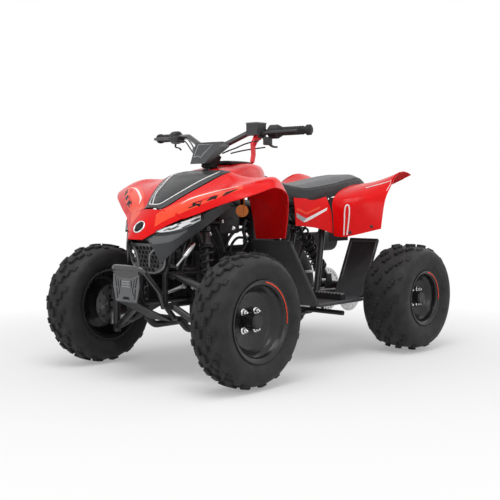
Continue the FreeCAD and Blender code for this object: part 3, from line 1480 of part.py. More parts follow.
RESERVOIR_SHARES = ((0.248, 0.188, 0.894), (0.302, 0.24, 0.942))
LEVER_SHARES = [(0.262, 0.894), (0.29, 0.894), (0.31, 0.862), (0.306, 0.822), (0.312, 0.796),
                (0.302, 0.79), (0.294, 0.82), (0.296, 0.85), (0.28, 0.872), (0.262, 0.88)]
reservoir_low, reservoir_high = [(S.draw_length * x, S.draw_width * y, S.draw_height * z)
                                 for x, y, z in RESERVOIR_SHARES]
node("reservoir", cut(box(reservoir_low, reservoir_high), handlebar))
lever = plate("XZ_Plane", [drawn_flat(LEVER_SHARES, S.draw_length, S.draw_height)],
              reservoir_high[1] - S.bar_radius * 2.2, reservoir_high[1] - S.bar_radius)
node("parking_lever", cut(lever, handlebar))

# Exhaust: the pipe over the case's right side, and the silencer

PIPE_POINT_SHARES = [(0.29, -0.03, 0.296), (0.29, -0.05, 0.262), (0.255, -0.106, 0.275),
                     (0.2, -0.109, 0.45), (-0.492, -0.109, 0.45)]
SILENCER_AT_SHARE = (-0.492, -0.145, 0.45)


def exhaust_pipe():
    line = drawn([PIPE_POINT_SHARES])[0]
    return tube(line, S.bar_radius, S.bar_radius * 4)


def silencer():
    x, y, z = drawn([[SILENCER_AT_SHARE]])[0][0]
    radius = S.cylinder_radius
    length = S.draw_length * 0.2
    body = new_body("silencer")
    turn(body, [(0, 0), (0, radius * 0.85), (radius * 0.2, radius),
                (length - radius * 0.3, radius), (length, radius * 0.7), (length, radius * 0.35),
                (length + radius * 0.4, radius * 0.35), (length + radius * 0.4, radius * 0.28),
                (length - radius * 0.6, radius * 0.28), (length - radius * 0.6, 0)])
    place(body, (x, y, z), Rotation(Vector(0, 1, 0), Vector(-1, 0, 0)))
    hanger = rod((x - length * 0.4, y, z), (x - length * 0.4, -S.top_rail_y,
                 S.tail_rail_z - S.frame_tube / 2), S.bar_radius * 0.7)
    return cut(join([body, hanger]), upper)


pipe = cut(exhaust_pipe(), nodes["cylinder"])
node("exhaust", join([pipe, silencer()]))

REFLECTOR_AT_SHARE = (0.352, 0.212, 0.612)
REFLECTOR_STRAP_SHARE = 0.9


def reflector():
    """A round reflector on a strap that hangs from the fender's underside."""
    x, y, z = drawn([[REFLECTOR_AT_SHARE]])[0][0]
    depth = S.skin * 1.4
    disc = rod((x, y, z), (x + depth, y + depth, z), S.grip_radius * 1.4)
    strap = box((x - S.skin, y - S.small_tube, z - S.grip_radius),
                (x + S.skin / 2, y + S.small_tube, S.stem_top_z * REFLECTOR_STRAP_SHARE))
    return main_piece(cut(join([disc, strap]), fender))


both("side_reflectors", reflector())

TAIL_LIGHT_SHARES = [(-0.06, 0.645), (0.06, 0.645), (0.066, 0.664), (0.05, 0.682),
                     (-0.05, 0.682), (-0.066, 0.664)]
tail_light = plate("YZ_Plane", [drawn_flat(TAIL_LIGHT_SHARES, S.draw_width, S.draw_height)],
                   -S.draw_length * 0.736, -S.draw_length * 0.7)
node("tail_light", main_piece(cut(tail_light, deck)))

# Write every node after checking it


def finish():
    doc.recompute()
    for obj in doc.Objects:
        if {"Invalid", "Error"} & set(obj.State):
            raise RuntimeError(f"{obj.Name} failed: {obj.State}")
    os.makedirs("parts", exist_ok=True)
    for name, obj in nodes.items():
        shape = obj.Shape
        if shape.isNull() or not shape.isValid():
            raise RuntimeError(f"{name} has no valid shape")
        shape.exportStep(f"parts/{name}.step")
        print(name, len(shape.Solids), round(shape.Volume))


finish()
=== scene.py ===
import math

import bmesh
import bpy
from mathutils import Matrix, Vector
from mathutils.bvhtree import BVHTree


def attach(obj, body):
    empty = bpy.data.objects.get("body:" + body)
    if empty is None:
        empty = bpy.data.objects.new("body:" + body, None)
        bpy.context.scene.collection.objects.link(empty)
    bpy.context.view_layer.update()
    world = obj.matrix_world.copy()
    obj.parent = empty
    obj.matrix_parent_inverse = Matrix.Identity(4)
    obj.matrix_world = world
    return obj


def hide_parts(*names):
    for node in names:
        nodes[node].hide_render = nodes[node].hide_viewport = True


# Youth quad bike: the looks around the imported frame, in metres
# +X is forward, +Y is the rider's left, +Z is up

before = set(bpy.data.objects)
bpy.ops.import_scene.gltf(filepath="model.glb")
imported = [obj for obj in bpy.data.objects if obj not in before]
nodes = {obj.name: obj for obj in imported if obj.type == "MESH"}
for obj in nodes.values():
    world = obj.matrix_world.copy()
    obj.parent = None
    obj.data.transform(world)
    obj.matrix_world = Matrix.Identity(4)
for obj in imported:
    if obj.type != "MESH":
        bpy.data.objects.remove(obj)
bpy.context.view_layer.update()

IMAGE = 500
FOCAL_PX = 894.45
SENSOR = 36.0
CAMERA_AT = Vector((2.82285, 2.44037, 0.66973))
CAMERA_AIM = Vector((0.06828, 0.0, 0.44453))

MM = 0.001
FRONT_AXLE = Vector((0.529, 0.397, 0.238))
REAR_AXLE = Vector((-0.537, 0.381, 0.230))


# Materials


def rgb(red, green, blue):
    return (red, green, blue, 1.0)


def link(tree, start, end):
    tree.links.new(start, end)


def noise(tree, size, detail=3.0, rough=0.55):
    node = tree.nodes.new("ShaderNodeTexNoise")
    node.inputs["Scale"].default_value = 1.0 / size
    node.inputs["Detail"].default_value = detail
    node.inputs["Roughness"].default_value = rough
    place = tree.nodes.new("ShaderNodeTexCoord")
    link(tree, place.outputs["Object"], node.inputs["Vector"])
    return node


def remap(tree, source, low, high, start=0.3, end=0.7):
    node = tree.nodes.new("ShaderNodeMapRange")
    node.inputs["From Min"].default_value = start
    node.inputs["From Max"].default_value = end
    node.inputs["To Min"].default_value = low
    node.inputs["To Max"].default_value = high
    link(tree, source, node.inputs["Value"])
    return node.outputs["Result"]


def mix_colors(tree, factor, first, second):
    node = tree.nodes.new("ShaderNodeMix")
    node.data_type = "RGBA"
    link(tree, factor, node.inputs["Factor"])
    for value, socket in ((first, node.inputs[6]), (second, node.inputs[7])):
        if isinstance(value, tuple):
            socket.default_value = value
        else:
            link(tree, value, socket)
    return node.outputs[2]


def material(name, color, rough=0.5, metallic=0.0, spread=0.06, mottle=0.12, mottle_size=0.04,
             grain=0.25, grain_size=0.0012, depth=0.0002, coat=0.0, sheen=0.0, dust=0.0,
             dust_color=(0.3, 0.29, 0.27), specular=0.5):
    """Colour that varies, roughness that varies, and a fine relief; dust lies on what faces up."""
    made = bpy.data.materials.new(name)
    made.use_nodes = True
    tree = made.node_tree
    shader = tree.nodes["Principled BSDF"]
    patches = noise(tree, mottle_size)
    dark = rgb(*[c * (1 - mottle) for c in color])
    light = rgb(*[min(1.0, c * (1 + mottle)) for c in color])
    paint = mix_colors(tree, remap(tree, patches.outputs["Fac"], 0, 1), dark, light)
    if dust:
        facing = tree.nodes.new("ShaderNodeNewGeometry")
        split = tree.nodes.new("ShaderNodeSeparateXYZ")
        link(tree, facing.outputs["Normal"], split.inputs["Vector"])
        lying = remap(tree, split.outputs["Z"], 0.0, dust, 0.1, 1.0)
        paint = mix_colors(tree, lying, paint, rgb(*dust_color))
    link(tree, paint, shader.inputs["Base Color"])
    shine = noise(tree, mottle_size * 0.6)
    link(tree, remap(tree, shine.outputs["Fac"], max(0.02, rough - spread),
                     min(1.0, rough + spread)), shader.inputs["Roughness"])
    fine = noise(tree, grain_size, 4.0)
    bump = tree.nodes.new("ShaderNodeBump")
    bump.inputs["Strength"].default_value = grain
    bump.inputs["Distance"].default_value = depth
    link(tree, fine.outputs["Fac"], bump.inputs["Height"])
    link(tree, bump.outputs["Normal"], shader.inputs["Normal"])
    shader.inputs["Metallic"].default_value = metallic
    shader.inputs["Coat Weight"].default_value = coat
    shader.inputs["Coat Roughness"].default_value = 0.08
    shader.inputs["Sheen Weight"].default_value = sheen
    shader.inputs["Specular IOR Level"].default_value = specular
    return made


RED = (0.78, 0.005, 0.006)
red_plastic = material("red_plastic", RED, rough=0.24, spread=0.05, mottle=0.05, grain=0.015,
                       grain_size=0.004, coat=0.05, specular=0.14)
orange_red = material("orange_red_film", (0.92, 0.075, 0.03), rough=0.25, mottle=0.05,
                      grain=0.05, grain_size=0.004, coat=0.05, specular=0.2)
white_film = material("white_film", (0.86, 0.84, 0.83), rough=0.3, mottle=0.04, grain=0.05,
                      coat=0.3)
grey_film = material("grey_film", (0.32, 0.33, 0.34), rough=0.35, mottle=0.06, grain=0.08,
                     coat=0.2)
black_film = material("black_film", (0.008, 0.008, 0.009), rough=0.35, mottle=0.1, grain=0.05,
                      coat=0.05, specular=0.12)
rubber = material("tyre_rubber", (0.028, 0.028, 0.029), rough=0.62, spread=0.1, mottle=0.25,
                  mottle_size=0.05, grain=0.5, grain_size=0.0016, depth=0.0003, dust=0.12,
                  dust_color=(0.1, 0.1, 0.1), specular=0.2)
rim_paint = material("rim_paint", (0.012, 0.012, 0.013), rough=0.28, spread=0.06, mottle=0.2,
                     grain=0.12, grain_size=0.002, coat=0.12, specular=0.35)
hub_paint = material("hub_paint", (0.02, 0.02, 0.022), rough=0.4, mottle=0.2, grain=0.3, specular=0.35)
steel = material("brushed_steel", (0.5, 0.5, 0.51), rough=0.32, metallic=1.0, spread=0.1,
                 mottle=0.1, grain=0.3, grain_size=0.0008)
bright_steel = material("bright_steel", (0.75, 0.75, 0.76), rough=0.18, metallic=1.0,
                        spread=0.05, mottle=0.06, grain=0.1)
frame_paint = material("frame_paint", (0.022, 0.022, 0.024), rough=0.36, spread=0.08,
                       mottle=0.2, grain=0.2, grain_size=0.002, coat=0.2, specular=0.3)
cast_metal = material("cast_aluminium", (0.1, 0.1, 0.105), rough=0.5, metallic=0.8,
                      spread=0.1, mottle=0.25, grain=0.6, grain_size=0.002, depth=0.0004)
bronze = material("bronze_paint", (0.3, 0.21, 0.12), rough=0.42, metallic=0.5, spread=0.1,
                  mottle=0.15, grain=0.3, grain_size=0.0018, specular=0.35)
dark_plastic = material("dark_grey_plastic", (0.05, 0.051, 0.054), rough=0.42, spread=0.06,
                        mottle=0.12, grain=0.45, grain_size=0.0014, specular=0.3)
black_plastic = material("black_plastic", (0.024, 0.024, 0.026), rough=0.48, spread=0.07,
                         mottle=0.15, grain=0.55, grain_size=0.0016, dust=0.05,
                         dust_color=(0.09, 0.09, 0.09), specular=0.25)
grip_rubber = material("grip_rubber", (0.026, 0.026, 0.028), rough=0.6, mottle=0.2, grain=0.6,
                       grain_size=0.001, specular=0.2)
seat_top = material("seat_top_vinyl", (0.12, 0.123, 0.128), rough=0.5, spread=0.06, mottle=0.1,
                    grain=0.7, grain_size=0.0022, depth=0.0003, sheen=0.1, specular=0.25)
seat_side = material("seat_side_vinyl", (0.032, 0.033, 0.035), rough=0.52, spread=0.06,
                     mottle=0.12, grain=0.7, grain_size=0.0022, depth=0.0003, sheen=0.05, specular=0.25)
thread = material("seam_thread", (0.015, 0.015, 0.016), rough=0.7, grain=0.5)
amber = material("amber_reflector", (0.62, 0.17, 0.008), rough=0.2, mottle=0.1, grain=0.3,
                 grain_size=0.003, coat=0.1, specular=0.3)
tail_red = material("tail_lens", (0.4, 0.006, 0.008), rough=0.18, mottle=0.1, grain=0.3,
                    grain_size=0.004, coat=0.15, specular=0.3)
lever_red = material("red_lever", (0.7, 0.012, 0.02), rough=0.3, mottle=0.08, grain=0.15,
                     coat=0.3)
pipe_black = material("heat_paint", (0.025, 0.025, 0.026), rough=0.6, mottle=0.25, grain=0.5,
                      grain_size=0.002, specular=0.2)
satin_grey = material("satin_grey", (0.13, 0.132, 0.137), rough=0.36, spread=0.06, mottle=0.1,
                      grain=0.3, grain_size=0.0014, specular=0.4)
field_film = material("hood_field_film", (0.03, 0.031, 0.033), rough=0.34, mottle=0.15,
                      mottle_size=0.02, grain=0.4, grain_size=0.0016, specular=0.4)
lamp_dark = material("lamp_dark", (0.03, 0.031, 0.034), rough=0.12, mottle=0.2, grain=0.1,
                     coat=0.8)
damper_dark = material("damper_paint", (0.05, 0.05, 0.053), rough=0.35, metallic=0.5,
                       mottle=0.15, grain=0.2)
footwell_plastic = material("footwell_plastic", (0.045, 0.046, 0.049), rough=0.46, spread=0.06,
                            mottle=0.14, grain=0.5, grain_size=0.0016, specular=0.3)
mesh_grey = material("grille_mesh", (0.14, 0.142, 0.146), rough=0.4, spread=0.06, mottle=0.12,
                     grain=0.3, specular=0.4)
rib_grey = material("rib_paint", (0.3, 0.302, 0.308), rough=0.3, spread=0.05, mottle=0.1,
                    grain=0.2, coat=0.2)
bumper_paint = material("bumper_paint", (0.03, 0.03, 0.032), rough=0.24, spread=0.05, mottle=0.15,
                        grain=0.12, grain_size=0.002, coat=0.5, specular=0.5)
lining_red = material("lining_red", (0.62, 0.004, 0.005), rough=0.6, spread=0.02, mottle=0.02,
                      grain=0.0, specular=0.05)
# A near-white film for the headlight: a painted reflection of the bright reflector
lamp_painted_reflection = material("lamp_painted_reflection_white", (0.9, 0.91, 0.93), rough=0.12, metallic=0.2,
                       mottle=0.05, grain=0.1, coat=1.0)

NODE_LOOKS = {
    red_plastic: ["nose_cowl", "front_fenders", "rear_fenders", "rear_deck", "tank_cover",
                  "side_covers"],
    dark_plastic: ["hood_panel", "fascias", "pod", "reservoir"],
    mesh_grey: ["grille"],
    footwell_plastic: ["footwells"],
    bumper_paint: ["front_bumper", "handlebar"],
    black_plastic: ["console", "skid_plate", "switch_boxes"],
    frame_paint: ["lower_frame", "front_frame", "upper_frame", "low_arms", "high_arms",
                  "knuckle_left", "knuckle_right", "steering_stem", "swingarm", "foot_pegs",
                  "bar_clamp"],
    steel: ["front_brake_disc_left", "front_brake_disc_right", "rear_brake_disc", "sprocket",
            "drive_chain", "tie_rod_left", "tie_rod_right"],
    hub_paint: ["front_hub_left", "front_hub_right", "rear_axle"],
    cast_metal: ["crankcase", "cylinder"],
    bronze: ["engine_covers"],
    pipe_black: ["exhaust"],
    grip_rubber: ["grips"],
    lever_red: ["parking_lever"],
    tail_red: ["tail_light"],
    amber: ["side_reflectors"],
    lamp_dark: ["headlights"],
    damper_dark: ["dampers"],
    seat_side: ["seat"],
    rubber: ["front_tyre_left", "front_tyre_right", "rear_tyres"],
    rim_paint: ["front_rim_left", "front_rim_right", "rear_rims", "springs"],
}
for look, names in NODE_LOOKS.items():
    for name in names:
        slots = nodes[name].material_slots
        for slot in slots:
            slot.material = look


# Mesh helpers


def piece(name, verts, faces, looks, body, smooth=True, face_looks=None):
    """A mesh piece that rides on a body; looks is a material or a list of them."""
    mesh = bpy.data.meshes.new(name)
    mesh.from_pydata([tuple(v) for v in verts], [], faces)
    looks = looks if isinstance(looks, list) else [looks]
    for look in looks:
        mesh.materials.append(look)
    if face_looks:
        mesh.polygons.foreach_set("material_index", face_looks)
    mesh.polygons.foreach_set("use_smooth", [smooth] * len(mesh.polygons))
    mesh.update()
    obj = bpy.data.objects.new(name, mesh)
    bpy.context.scene.collection.objects.link(obj)
    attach(obj, body)
    return obj


def outward(obj):
    work = bmesh.new()
    work.from_mesh(obj.data)
    bmesh.ops.recalc_face_normals(work, faces=work.faces)
    work.to_mesh(obj.data)
    work.free()
    return obj


def smooth_line(points, steps):
    """A Catmull-Rom curve through the points."""
    points = [Vector(p) for p in points]
    line = []
    for number in range(len(points) - 1):
        a = points[max(number - 1, 0)]
        b = points[number]
        c = points[number + 1]
        d = points[min(number + 2, len(points) - 1)]
        for step in range(steps):
            t = step / steps
            line.append(0.5 * (2 * b + (c - a) * t + (2 * a - 5 * b + 4 * c - d) * t * t
                               + (3 * b - a - 3 * c + d) * t ** 3))
    line.append(points[-1])
    return line


def lathe(profile, steps, centre, side=1):
    """Turn a closed (y, r) profile about the Y axis at centre; side mirrors it."""
    verts = []
    faces = []
    count = len(profile)
    for step in range(steps):
        angle = 2 * math.pi * step / steps
        for y, r in profile:
            verts.append((centre[0] + r * math.cos(angle), centre[1] + y * side,
                          centre[2] + r * math.sin(angle)))
    for step in range(steps):
        here = step * count
        there = (step + 1) % steps * count
        for number in range(count):
            after = (number + 1) % count
            faces.append((here + number, here + after, there + after, there + number))
    return verts, faces


def ring_faces(rings, sides):
    """The faces between rings of as many points, one after another."""
    faces = []
    for ring in range(rings - 1):
        for side in range(sides):
            a = ring * sides + side
            b = ring * sides + (side + 1) % sides
            faces.append((a, b, b + sides, a + sides))
    return faces


def tube_mesh(points, radius, sides=12):
    """A round tube with closed ends along a line of points; radius may be a list."""
    points = [Vector(p) for p in points]
    verts = []
    up = Vector((0, 0, 1))
    for number, point in enumerate(points):
        ahead = points[min(number + 1, len(points) - 1)]
        behind = points[max(number - 1, 0)]
        way = (ahead - behind).normalized()
        if number == 0:
            if abs(way.dot(up)) > 0.9:
                up = Vector((1, 0, 0))
        across = way.cross(up).normalized()
        up = across.cross(way).normalized()
        size = radius[number] if isinstance(radius, list) else radius
        for side in range(sides):
            angle = 2 * math.pi * side / sides
            verts.append(point + (across * math.cos(angle) + up * math.sin(angle)) * size)
    faces = ring_faces(len(points), sides)
    faces.append(tuple(range(sides - 1, -1, -1)))
    last = (len(points) - 1) * sides
    faces.append(tuple(range(last, last + sides)))
    return verts, faces


def merged(parts):
    verts = []
    faces = []
    for part_verts, part_faces in parts:
        offset = len(verts)
        verts += [Vector(v) for v in part_verts]
        faces += [tuple(index + offset for index in face) for face in part_faces]
    return verts, faces


def flipped(part):
    """The mirror image across the middle of the vehicle."""
    verts, faces = part
    return [(v[0], -v[1], v[2]) for v in verts], [tuple(reversed(face)) for face in faces]


def both_sides(part):
    """A part and its mirror image."""
    return merged([part, flipped(part)])


def prism(near, far):
    """The closed solid between two outlines of as many points."""
    count = len(near)
    faces = [tuple(range(count)), tuple(range(2 * count - 1, count - 1, -1))]
    faces += [(n, (n + 1) % count, (n + 1) % count + count, n + count) for n in range(count)]
    return near + far, faces


def put(name, parts, look, body, smooth=True):
    """One piece made of closed parts, with its faces turned outward."""
    verts, faces = merged(parts)
    return outward(piece(name, verts, faces, look, body, smooth))


def round_box(low, high, edge, segments=3, taper=0.0):
    """A box with rounded edges, narrower at its top by the taper."""
    work = bmesh.new()
    bmesh.ops.create_cube(work, size=1.0)
    low, high = Vector(low), Vector(high)
    for vert in work.verts:
        share = vert.co + Vector((0.5, 0.5, 0.5))
        squeeze = 1 - taper * share.z
        middle = (low + high) / 2
        vert.co = Vector((middle.x + (high.x - low.x) * (share.x - 0.5) * squeeze,
                          middle.y + (high.y - low.y) * (share.y - 0.5) * squeeze,
                          low.z + (high.z - low.z) * share.z))
    bmesh.ops.bevel(work, geom=work.edges[:], offset=edge, segments=segments, profile=0.5,
                    affect="EDGES")
    verts = [vert.co.copy() for vert in work.verts]
    work.verts.index_update()
    faces = [tuple(vert.index for vert in face.verts) for face in work.faces]
    work.free()
    return verts, faces


def turned_to(part, matrix):
    verts, faces = part
    return [matrix @ Vector(v) for v in verts], faces


def aim(start, end):
    """The matrix that takes +Z at the origin to the line from start to end."""
    way = Vector(end) - Vector(start)
    return Matrix.Translation(start) @ way.to_track_quat("Z", "Y").to_matrix().to_4x4()


def bolt_head(at, way, radius, height):
    """A hexagon head on a washer, standing on its seat along way."""
    profile = [(0.0, radius * 1.35), (height * 0.18, radius * 1.35), (height * 0.24, radius * 1.2)]
    verts = []
    sides = 24
    rings = [(h, r, False) for h, r in profile]
    rings += [(height * 0.24, radius, True), (height * 0.9, radius, True),
              (height, radius * 0.85, True)]
    for high, size, hexagonal in rings:
        for side in range(sides):
            angle = 2 * math.pi * side / sides
            reach = size
            if hexagonal:
                turn = (angle + math.pi / 6) % (math.pi / 3) - math.pi / 6
                reach = size * math.cos(math.pi / 6) / math.cos(turn)
            verts.append((reach * math.cos(angle), reach * math.sin(angle), high))
    faces = ring_faces(len(rings), sides)
    faces.append(tuple(range((len(rings) - 1) * sides, len(rings) * sides)))
    return turned_to((verts, faces), aim(at, Vector(at) + Vector(way)))


# Tyres: a smooth carcass with ring lines, and rows of raised lugs with a sipe round each


FRONT_SECTION = [(61, 141), (64, 149), (69, 158), (73.4, 169), (75, 182), (73.4, 196), (69, 208),
                 (60.5, 217.5), (48, 223.6), (30, 227), (0, 228)]
REAR_SECTION = [(85.5, 114), (88, 122), (94.5, 131), (100.5, 142), (104, 155), (105, 170),
                (102.5, 185), (96.5, 198), (86, 207), (70, 213.5), (45, 217.6), (0, 219)]
# Lugs: rows of (place along the section, share of a pitch, width, length, height, shape)
FRONT_ROWS = [(0.925, 0.0, 24, 36, 9.6, "block"), (0.79, 0.3, 22, 34, 9.4, "block"),
              (0.655, 0.6, 17, 26, 5.6, "bar")]
REAR_ROWS = [(0.91, 0.0, 30, 42, 10.6, "zig"), (0.75, 0.35, 28, 40, 10.2, "zig"),
             (0.6, 0.7, 19, 34, 4.6, "bar")]


def lug_outline(shape, width, length):
    """Corner points of a lug's footprint, across and along the tread."""
    w, h = width / 2, length / 2
    if shape == "zig":
        points = [(-w, -h * 0.9), (w * 0.25, -h), (w * 0.3, -h * 0.25), (w, -h * 0.1),
                  (w, h * 0.9), (-w * 0.25, h), (-w * 0.3, h * 0.25), (-w, h * 0.1)]
    else:
        points = [(-w, -h), (w, -h * 0.9), (w, h), (-w, h * 0.9)]
    rounded = []
    for number, corner in enumerate(points):
        before = Vector(points[number - 1])
        after = Vector(points[(number + 1) % len(points)])
        here = Vector(corner)
        cut = min(2.6, (before - here).length * 0.4, (after - here).length * 0.4)
        rounded.append(here + (before - here).normalized() * cut)
        rounded.append(here + (after - here).normalized() * cut)
    return rounded


def inset(points, size):
    """Move a closed outline inwards by size, keeping its shape."""
    middle = sum(points, Vector((0, 0))) / len(points)
    moved = []
    for number, here in enumerate(points):
        before = (here - points[number - 1]).normalized()
        after = (points[(number + 1) % len(points)] - here).normalized()
        normal = Vector((-(before.y + after.y), before.x + after.x)).normalized()
        if normal.dot(middle - here) < 0:
            normal = -normal
        moved.append(here + normal * size)
    return moved


def tyre(name, centre, section, rows, count, half_width, body, replaced, spin):
    line = smooth_line(section, 5)
    total = [0.0]
    for a, b in zip(line, line[1:]):
        total.append(total[-1] + (b - a).length)

    def at(share):
        want = share * total[-1]
        index = max(1, next((i for i, t in enumerate(total) if t >= want), len(line) - 1))
        span = total[index] - total[index - 1]
        t = (want - total[index - 1]) / span if span else 0
        point = line[index - 1].lerp(line[index], t)
        way = (line[index] - line[index - 1]).normalized()
        return point, Vector((way.y, -way.x))

    ringed = []
    for number, point in enumerate(line):
        share = total[number] / total[-1]
        lift = 0.0
        for mark, high in ((0.16, 1.3), (0.42, 1.1), (0.455, 0.9)):
            lift = max(lift, high * max(0.0, 1 - abs(share - mark) / 0.012))
        normal = at(max(share, 0.001))[1]
        ringed.append(point + normal * lift)
    half = [(p.x, p.y) for p in ringed]
    hollow = [(section[0][0] - 7, section[0][1] - 2), (half_width * 0.86, section[4][1]),
              (half_width * 0.6, section[-1][1] - 12)]
    profile = half + [(-y, r) for y, r in half[-2::-1]]
    profile += [(-y, r) for y, r in hollow] + hollow[::-1]
    profile = [(y * MM, r * MM) for y, r in profile]
    parts = [lathe(profile, 128, centre)]
    pitch = 2 * math.pi / count
    for row_share, turn_share, width, length, height, shape in rows:
        outline = lug_outline(shape, width, length)
        rings = [(outline, -2.5, 0.0), (outline, height, 1.5), (outline, height, 4.0),
                 (outline, height - 1.5, 4.6), (outline, height - 1.5, 5.8),
                 (outline, height, 6.3)]
        for flank in (1, -1):
            for number in range(count):
                turn = spin + pitch * (number + turn_share + (0.5 if flank < 0 else 0.0))
                verts = []
                for points, high, size in rings:
                    for across, along in inset(points, size) if size else points:
                        place = row_share - across / total[-1]
                        beyond = max(0.0, place - 1.0)
                        point, normal = at(min(place, 1.0))
                        y = (point.x - beyond * total[-1] + normal.x * high)
                        r = point.y + normal.y * high
                        y = max(-half_width, min(half_width, y)) * flank
                        angle = turn + along / point.y * flank
                        verts.append((centre[0] + r * MM * math.cos(angle), centre[1] + y * MM,
                                      centre[2] + r * MM * math.sin(angle)))
                size = len(outline)
                faces = ring_faces(len(rings), size)
                faces.append(tuple(range((len(rings) - 1) * size, len(rings) * size)))
                parts.append((verts, faces))
    verts, faces = merged(parts)
    obj = outward(piece(name, verts, faces, rubber, body, smooth=False))
    carcass = len(profile) * 128
    smooth = [index < carcass for index in range(len(faces))]
    obj.data.polygons.foreach_set("use_smooth", smooth)
    for node in replaced:
        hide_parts(node)
    return obj


# Wheels: a stepped steel rim, its stud nuts and a red film on the lip


FRONT_RIM = [(-66, 145), (-67, 143), (-66, 139), (-62, 134), (-60, 127.5), (-44, 125), (-28, 111),
             (4, 107), (4, 96), (3, 60), (4, 28), (8, 28), (8.5, 60), (9.5, 66), (12, 84),
             (16, 92), (16.5, 97), (18.5, 101.5), (22, 103), (24, 107), (30, 110), (42, 122),
             (44, 124.6), (58, 126.4), (60.5, 128.5), (62.5, 134), (66, 139.5), (67, 143), (66, 145),
             (63.5, 144.2), (62, 138), (57, 130), (42, 128), (28, 114.5), (-26, 115), (-42, 128.5),
             (-57, 131), (-62, 138), (-63.5, 144.2)]
REAR_RIM = [(-90, 118), (-91, 116), (-90, 112), (-86, 107), (-84, 101.5), (-60, 99), (-40, 88),
            (20, 84), (25, 76), (25, 28), (29, 28), (29.5, 56), (31, 61), (34, 71), (38, 75),
            (40, 80), (46, 83), (50, 88), (56, 92), (60, 98), (64, 99.4), (80, 100.6),
            (84.5, 102.5), (86.5, 107), (90, 112.5), (91, 116), (90, 118), (87.5, 117.2), (86, 111),
            (81, 104), (58, 102.5), (38, 91.5), (-38, 91.5), (-58, 102.5), (-81, 104.5),
            (-86, 111), (-87.5, 117.2)]
STUD_CIRCLE = 45 * MM
NUT_RADIUS, NUT_HEIGHT = 9.5 * MM, 13 * MM
STUD_LENGTH, STUD_TIP = 19 * MM, 20.5 * MM
STUD_RADII = [4.6 * MM, 4.6 * MM, 3.6 * MM]


def rim(name, centre, side, profile, seat_y, body, replaced):
    shape = [(y * MM, r * MM) for y, r in profile]
    verts, faces = lathe(shape, 96, centre, side)
    obj = outward(piece(name, verts, faces, rim_paint, body))
    for node in replaced:
        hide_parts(node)
    parts = []
    for number in range(4):
        angle = math.pi / 2 * (number + 0.5)
        at = Vector((centre[0] + STUD_CIRCLE * math.cos(angle), centre[1] + seat_y * MM * side,
                     centre[2] + STUD_CIRCLE * math.sin(angle)))
        way = Vector((0, side, 0))
        parts.append(bolt_head(at, way, NUT_RADIUS, NUT_HEIGHT))
        parts.append(tube_mesh([at, at + way * STUD_LENGTH, at + way * STUD_TIP], STUD_RADII))
    put(name + "_nuts", parts, bright_steel, body, False)
    return obj


def lip_film(name, centre, side, radii, y, start, end, body):
    """A thin red arc on the rim's lip."""
    verts = []
    faces = []
    steps = 48
    low, high = radii
    for step in range(steps + 1):
        angle = math.radians(start + (end - start) * step / steps)
        for r, lift in ((low, -0.4), (low, 0.35), (high, 0.35), (high, -0.4)):
            verts.append((centre[0] + r * MM * math.cos(angle) * side,
                          centre[1] + (y + lift) * MM * side,
                          centre[2] + r * MM * math.sin(angle)))
    for step in range(steps):
        for number in range(4):
            after = (number + 1) % 4
            faces.append((step * 4 + number, step * 4 + after, step * 4 + 4 + after,
                          step * 4 + 4 + number))
    outward(piece(name, verts, faces, orange_red, body))


FRONT_FILM = ((134.5, 138.8), 65.4)
REAR_FILM = ((107.8, 112), 89.5)
for label, side in (("left", 1), ("right", -1)):
    hub = Vector((FRONT_AXLE.x, FRONT_AXLE.y * side, FRONT_AXLE.z))
    body = f"wheel_front_{label}"
    tyre(f"tread_front_{label}", hub, FRONT_SECTION, FRONT_ROWS, 16, 75, body,
         [f"front_tyre_{label}"], 0.1)
    rim(f"wheel_front_{label}_rim", hub, side, FRONT_RIM, 8, body, [f"front_rim_{label}"])
    lip_film(f"lip_film_front_{label}", hub, side, *FRONT_FILM, -172, -262, body)
    hub = Vector((REAR_AXLE.x, REAR_AXLE.y * side, REAR_AXLE.z))
    tyre(f"tread_rear_{label}", hub, REAR_SECTION, REAR_ROWS, 14, 105, "rear_axle",
         ["rear_tyres"], 0.2)
    rim(f"wheel_rear_{label}_rim", hub, side, REAR_RIM, 29, "rear_axle", ["rear_rims"])
    lip_film(f"lip_film_rear_{label}", hub, side, *REAR_FILM, -172, -262, "rear_axle")


# Coil springs in place of the plain sleeves


def coil(top, low, radius, wire, turns):
    top, low = Vector(top), Vector(low)
    length = (low - top).length
    start = 0.1 * length + 7.3 * MM
    stop = 0.86 * length - 0.3 * MM
    turn_matrix = aim(top, low)
    points = []
    radii = []
    steps = int(turns * 20)
    for step in range(steps + 1):
        share = step / steps
        angle = share * turns * 2 * math.pi
        eased = min(max((share - 0.04) / 0.92, 0), 1)
        along = start + wire + (stop - start - 2 * wire) * eased
        points.append(turn_matrix @ Vector((radius * math.cos(angle), radius * math.sin(angle),
                                            along)))
        radii.append(wire)
    return tube_mesh(points, radii, 10)


FRONT_SHOCK = ((0.452, 0.120, 0.520), (0.529, 0.226, 0.196))
REAR_SHOCK = ((-0.208, 0.0, 0.590), (-0.438, 0.0, 0.312))
# Radius of the coil, radius of the wire and turns
FRONT_COIL = (22.4 * MM, 4.4 * MM, 9)
REAR_COIL = (27.5 * MM, 4.8 * MM, 9)
left_coil = coil(*FRONT_SHOCK, *FRONT_COIL)
coils = put("coil_springs", [left_coil, flipped(left_coil), coil(*REAR_SHOCK, *REAR_COIL)],
            frame_paint, "chassis")
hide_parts("springs")


# The camera comes first, because the films are placed by the photograph's pixels


